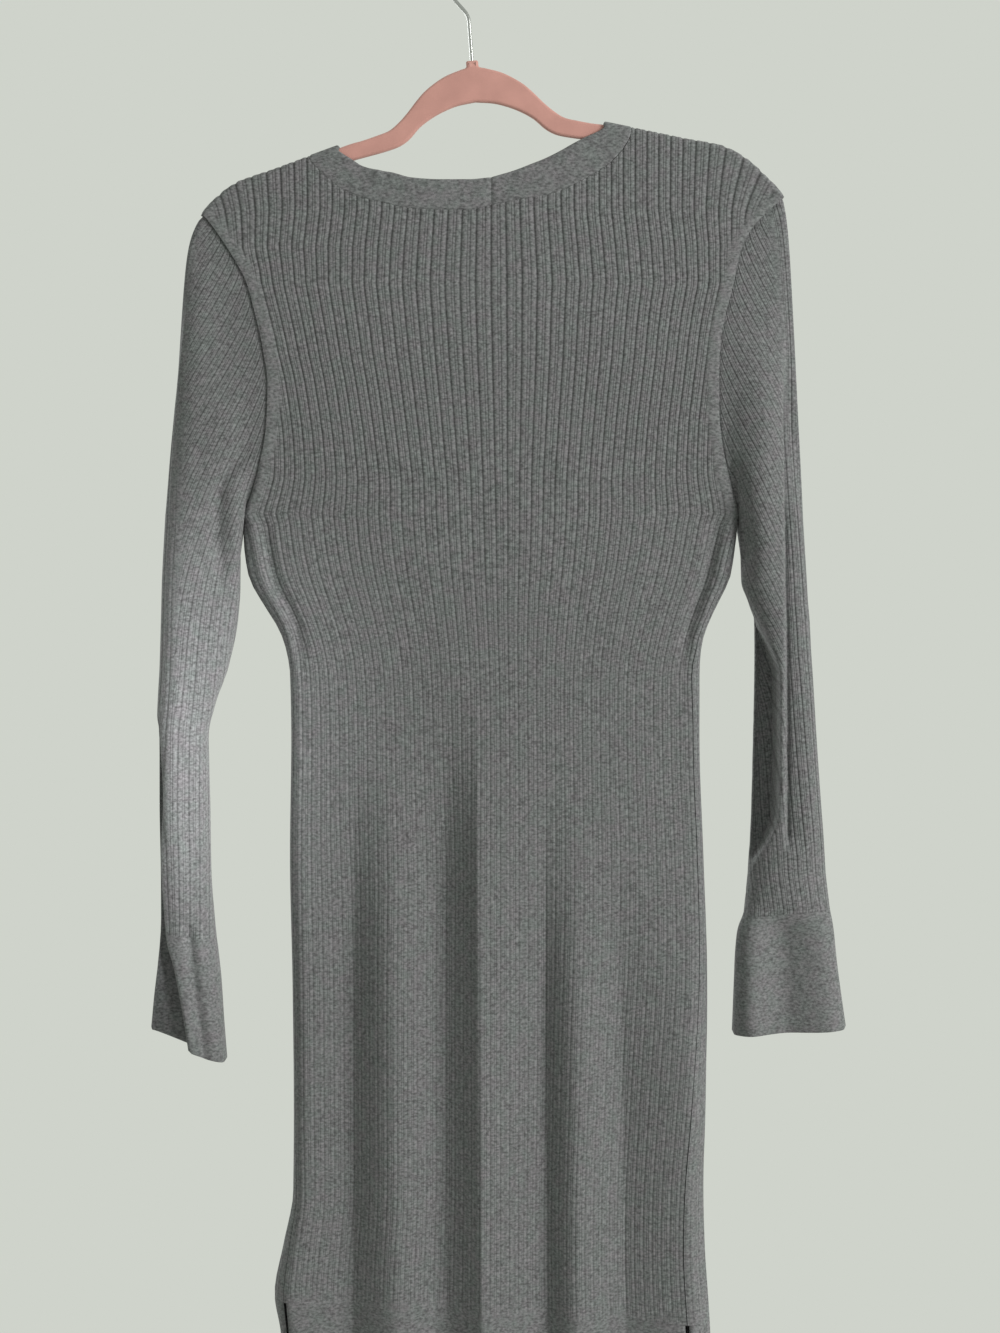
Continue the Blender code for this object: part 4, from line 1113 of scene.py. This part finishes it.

# %% [markdown]
# ## Knitted wool
# The material reads the UV map: U counts ribs and V counts centimetres down the cloth. The
# distance to the nearest whole U gives the deep groove and the faint pair, which press the surface
# in and are darkened with painted shade, standing in for the shadow that falls in them. Heather
# yarn is grey with lighter and darker flecks, so two noises vary the colour, one as fine as a
# stitch or two and one as wide as a fingertip.

# %% Node helpers


def linked(tree, node, socket, value):
    """Link a socket to a node's input, or set the input to a number."""
    if isinstance(value, bpy.types.NodeSocket):
        tree.links.new(value, node.inputs[socket])
    else:
        node.inputs[socket].default_value = value


def math_node(tree, kind, first, second=0.0):
    """One Math node. Returns its output."""
    node = tree.nodes.new("ShaderNodeMath")
    node.operation = kind
    linked(tree, node, 0, first)
    linked(tree, node, 1, second)
    return node.outputs[0]


def added(tree, first, second):
    """Sum of two values."""
    return math_node(tree, "ADD", first, second)


def times(tree, first, second):
    """Product of two values."""
    return math_node(tree, "MULTIPLY", first, second)


def bell_node(tree, value, middle, width):
    """e to the power of minus ((value - middle) / width) squared."""
    part = math_node(tree, "DIVIDE", math_node(tree, "SUBTRACT", value, middle), width)
    return math_node(tree, "EXPONENT", times(tree, times(tree, part, part), -1.0))


def noise_node(tree, coordinates, scale, detail, low, high):
    """Noise, spread from low to high."""
    noise = tree.nodes.new("ShaderNodeTexNoise")
    tree.links.new(coordinates, noise.inputs["Vector"])
    noise.inputs["Scale"].default_value = scale
    noise.inputs["Detail"].default_value = detail
    spread = tree.nodes.new("ShaderNodeMapRange")
    tree.links.new(noise.outputs["Fac"], spread.inputs["Value"])
    for socket, value in (("From Min", 0.3), ("From Max", 0.7), ("To Min", low), ("To Max", high)):
        spread.inputs[socket].default_value = value
    return spread.outputs["Result"]


def finish_node(name):
    """A new material. Returns it with its node tree and its shader."""
    made = bpy.data.materials.new(name)
    made.use_nodes = True
    return made, made.node_tree, made.node_tree.nodes["Principled BSDF"]


def coloured(tree, shader, colour, tone):
    """Base colour: a colour, or a socket that gives one, times a tone."""
    scaled = tree.nodes.new("ShaderNodeVectorMath")
    scaled.operation = "SCALE"
    linked(tree, scaled, 0, colour)
    linked(tree, scaled, "Scale", tone)
    tree.links.new(scaled.outputs[0], shader.inputs["Base Color"])


def pressed_in(tree, shader, height, strength, distance):
    """Bumps from a height."""
    bump = tree.nodes.new("ShaderNodeBump")
    bump.inputs["Strength"].default_value = strength
    bump.inputs["Distance"].default_value = distance
    tree.links.new(height, bump.inputs["Height"])
    tree.links.new(bump.outputs[0], shader.inputs["Normal"])


def fuzzy(shader, roughness, specular, sheen, sheen_roughness):
    """Settings of a surface that is covered in fibres."""
    shader.inputs["Roughness"].default_value = roughness
    shader.inputs["Specular IOR Level"].default_value = specular
    shader.inputs["Sheen Weight"].default_value = sheen
    shader.inputs["Sheen Roughness"].default_value = sheen_roughness


# %% Knit


def knit(name, ribbed, shade):
    """Heather knit. shade is its middle grey."""
    made, tree, shader = finish_node(name)
    place = tree.nodes.new("ShaderNodeTexCoord").outputs["Object"]
    uv = tree.nodes.new("ShaderNodeUVMap")
    uv.uv_map = "knit"
    parted = tree.nodes.new("ShaderNodeSeparateXYZ")
    tree.links.new(uv.outputs["UV"], parted.inputs[0])
    across, down = parted.outputs[0], parted.outputs[1]
    wale = math_node(tree, "PINGPONG", times(tree, across, 7.0), 0.5)
    chevron = added(tree, times(tree, down, 10.0), times(tree, wale, 1.4))
    stitch = math_node(tree, "PINGPONG", chevron, 0.5)
    drawn = tree.nodes.new("ShaderNodeMapping")
    drawn.inputs["Scale"].default_value = (1.0, 1.0, 1.7)
    tree.links.new(place, drawn.inputs["Vector"])
    fleck = noise_node(tree, drawn.outputs[0], 400, 3, -0.5, 0.5)
    patch = noise_node(tree, place, 95, 2, 0.0, 1.0)
    fibre = noise_node(tree, place, 1500, 2, -1.0, 1.0)
    height = added(tree, times(tree, stitch, 0.22), times(tree, fibre, 0.1))
    tone = added(tree, added(tree, 1.0, fleck), times(tree, stitch, 0.12))
    if ribbed:
        shown = tree.nodes.new("ShaderNodeAttribute")
        shown.attribute_name = "rib"
        clear = shown.outputs["Fac"]
        off = math_node(tree, "PINGPONG", across, 0.5)
        deep = times(tree, bell_node(tree, off, 0.0, 0.07), clear)
        faint = times(tree, bell_node(tree, off, 0.4, 0.045), math_node(tree, "SQRT", clear))
        groove_depth_and_shade = added(tree, deep, times(tree, faint, 0.55))
        height = math_node(tree, "SUBTRACT", height, times(tree, groove_depth_and_shade, 0.9))
        # Painted shade: the colour is darkened in the grooves, as the shadow in them would darken it.
        tone = times(tree, tone, math_node(tree, "SUBTRACT", 1.0, times(tree, groove_depth_and_shade, 0.62)))
    tint = tree.nodes.new("ShaderNodeMix")
    tint.data_type = "RGBA"  # its colours are inputs 6 and 7, and output 2
    tree.links.new(patch, tint.inputs[0])
    tint.inputs[6].default_value = (shade * 0.95, shade * 1.03, shade * 1.02, 1)
    tint.inputs[7].default_value = (shade * 1.03, shade * 0.99, shade * 1.05, 1)
    coloured(tree, shader, tint.outputs[2], tone)
    pressed_in(tree, shader, height, 0.7, 0.0007)
    fuzzy(shader, 0.93, 0.2, 0.12, 0.6)
    made.diffuse_color = (shade, shade, shade, 1)
    return made


rib_knit, plain_knit = knit("grey_rib_knit_wool", True, 0.115), knit("grey_plain_knit_wool", False, 0.108)

# %% [markdown]
# ## Flock and steel
# Flocking looks soft and a little lighter where it is seen edge on, which is what sheen does. The
# wire is drawn steel: bright, and a little rougher in some spots than in others.

# %% Flock and steel


def flock():
    """Pink fibres: a fine noise in colour and height, and a broad one for brushed patches."""
    made, tree, shader = finish_node("pink_flocking")
    place = tree.nodes.new("ShaderNodeTexCoord").outputs["Object"]
    speck = noise_node(tree, place, 1800, 2, -0.1, 0.1)
    brushed = noise_node(tree, place, 60, 2, -0.06, 0.06)
    tone = added(tree, added(tree, 1.0, speck), brushed)
    coloured(tree, shader, (0.41, 0.216, 0.187), tone)
    pressed_in(tree, shader, speck, 0.5, 0.0003)
    fuzzy(shader, 0.95, 0.15, 0.35, 0.5)
    shader.inputs["Sheen Tint"].default_value = (1.0, 0.8, 0.75, 1)
    return made


def steel():
    """Drawn wire: metal whose roughness varies finely."""
    made, tree, shader = finish_node("drawn_steel")
    place = tree.nodes.new("ShaderNodeTexCoord").outputs["Object"]
    tree.links.new(noise_node(tree, place, 900, 2, 0.2, 0.36), shader.inputs["Roughness"])
    shader.inputs["Base Color"].default_value = (0.42, 0.43, 0.42, 1)
    shader.inputs["Metallic"].default_value = 1.0
    return made


finishes = {"rib_knit": rib_knit, "plain_knit": plain_knit, "flock": flock(), "hook_steel": steel()}
print("materials:", ", ".join(m.name for m in finishes.values()))

# %% [markdown]
# ## Fitting the pieces to the frame
# Every piece takes the place of one CAD node, moves with the one body, and names its material
# slot.

# %% Ride and replace
for node, piece in pieces.items():
    slot = {"hanger_body": "flock", "hanger_hook": "hook_steel"}.get(node)
    slot = slot or ("rib_knit" if node.startswith(("back", "front", "sleeve")) else "plain_knit")
    piece.data.materials.clear()
    piece.data.materials.append(finishes[slot])
    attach(piece, "root")
    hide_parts(node)
print("pieces:", len(pieces))

# %% [markdown]
# ## Floor, light and camera
# The dress hangs free above a plain pale floor. A large soft light from the right and in front
# models the folds, a weaker one stands behind on the left, and the pale surroundings fill the
# shadows. A small narrow light is aimed at the left sleeve, which the others leave too dark.

# %% Floor and world
FLOOR_SIDES, FLOOR_RADIUS, FLOOR_HEIGHT = 96, 2.4, -1.9
floor = bpy.data.meshes.new("floor")
spot = np.arange(FLOOR_SIDES) * 2 * math.pi / FLOOR_SIDES
rim = np.stack((np.cos(spot), np.sin(spot)), axis=-1) * FLOOR_RADIUS
rim = np.concatenate((rim, np.full((FLOOR_SIDES, 1), FLOOR_HEIGHT)), axis=1)
floor.from_pydata(rim.tolist(), [], [list(range(FLOOR_SIDES))])
floor_object = placed("floor", floor)
pale, _, pale_shader = finish_node("pale_floor")
pale_shader.inputs["Base Color"].default_value = (0.42, 0.43, 0.4, 1)
pale_shader.inputs["Roughness"].default_value = 0.9
floor.materials.append(pale)

world = bpy.data.worlds.new("pale_room")
world.use_nodes = True
world.node_tree.nodes["Background"].inputs["Color"].default_value = (0.624, 0.651, 0.597, 1)
world.node_tree.nodes["Background"].inputs["Strength"].default_value = 1.0
bpy.context.scene.world = world
bpy.context.scene.view_settings.view_transform = "Standard"

# %% Lights


def soft_light(name, place, target, size, power, colour):
    """A square area light at a place, turned to a target."""
    light = bpy.data.lights.new(name, "AREA")
    light.size, light.energy, light.color = size, power, colour
    made = placed(name, light)
    made.location = place
    made.rotation_euler = (Vector(target) - Vector(place)).to_track_quat("-Z", "Y").to_euler()
    return made


middle = (0.027, 0.0, -0.56)
soft_light("window", (3.1, -2.1, 0.25), middle, 1.7, 170, (1.0, 0.99, 0.97))
soft_light("room", (-1.4, 1.6, 0.2), middle, 1.4, 30, (0.98, 0.99, 1.0))
near_light = soft_light("near", (0.35, -1.1, -0.45), (-0.32, 0.0, -0.62), 0.15, 0.44, (1.0, 1.0, 1.0))
near_light.data.spread = math.radians(20)

# %% Camera
camera = bpy.data.cameras.new("camera")
camera.sensor_fit, camera.sensor_width, camera.lens = "AUTO", 36.0, 56.12
camera_object = placed("camera", camera)
camera_object.location = (0.0268, -1.6, -0.5553)
camera_object.rotation_euler = (math.pi / 2, 0, 0)
bpy.context.scene.camera = camera_object
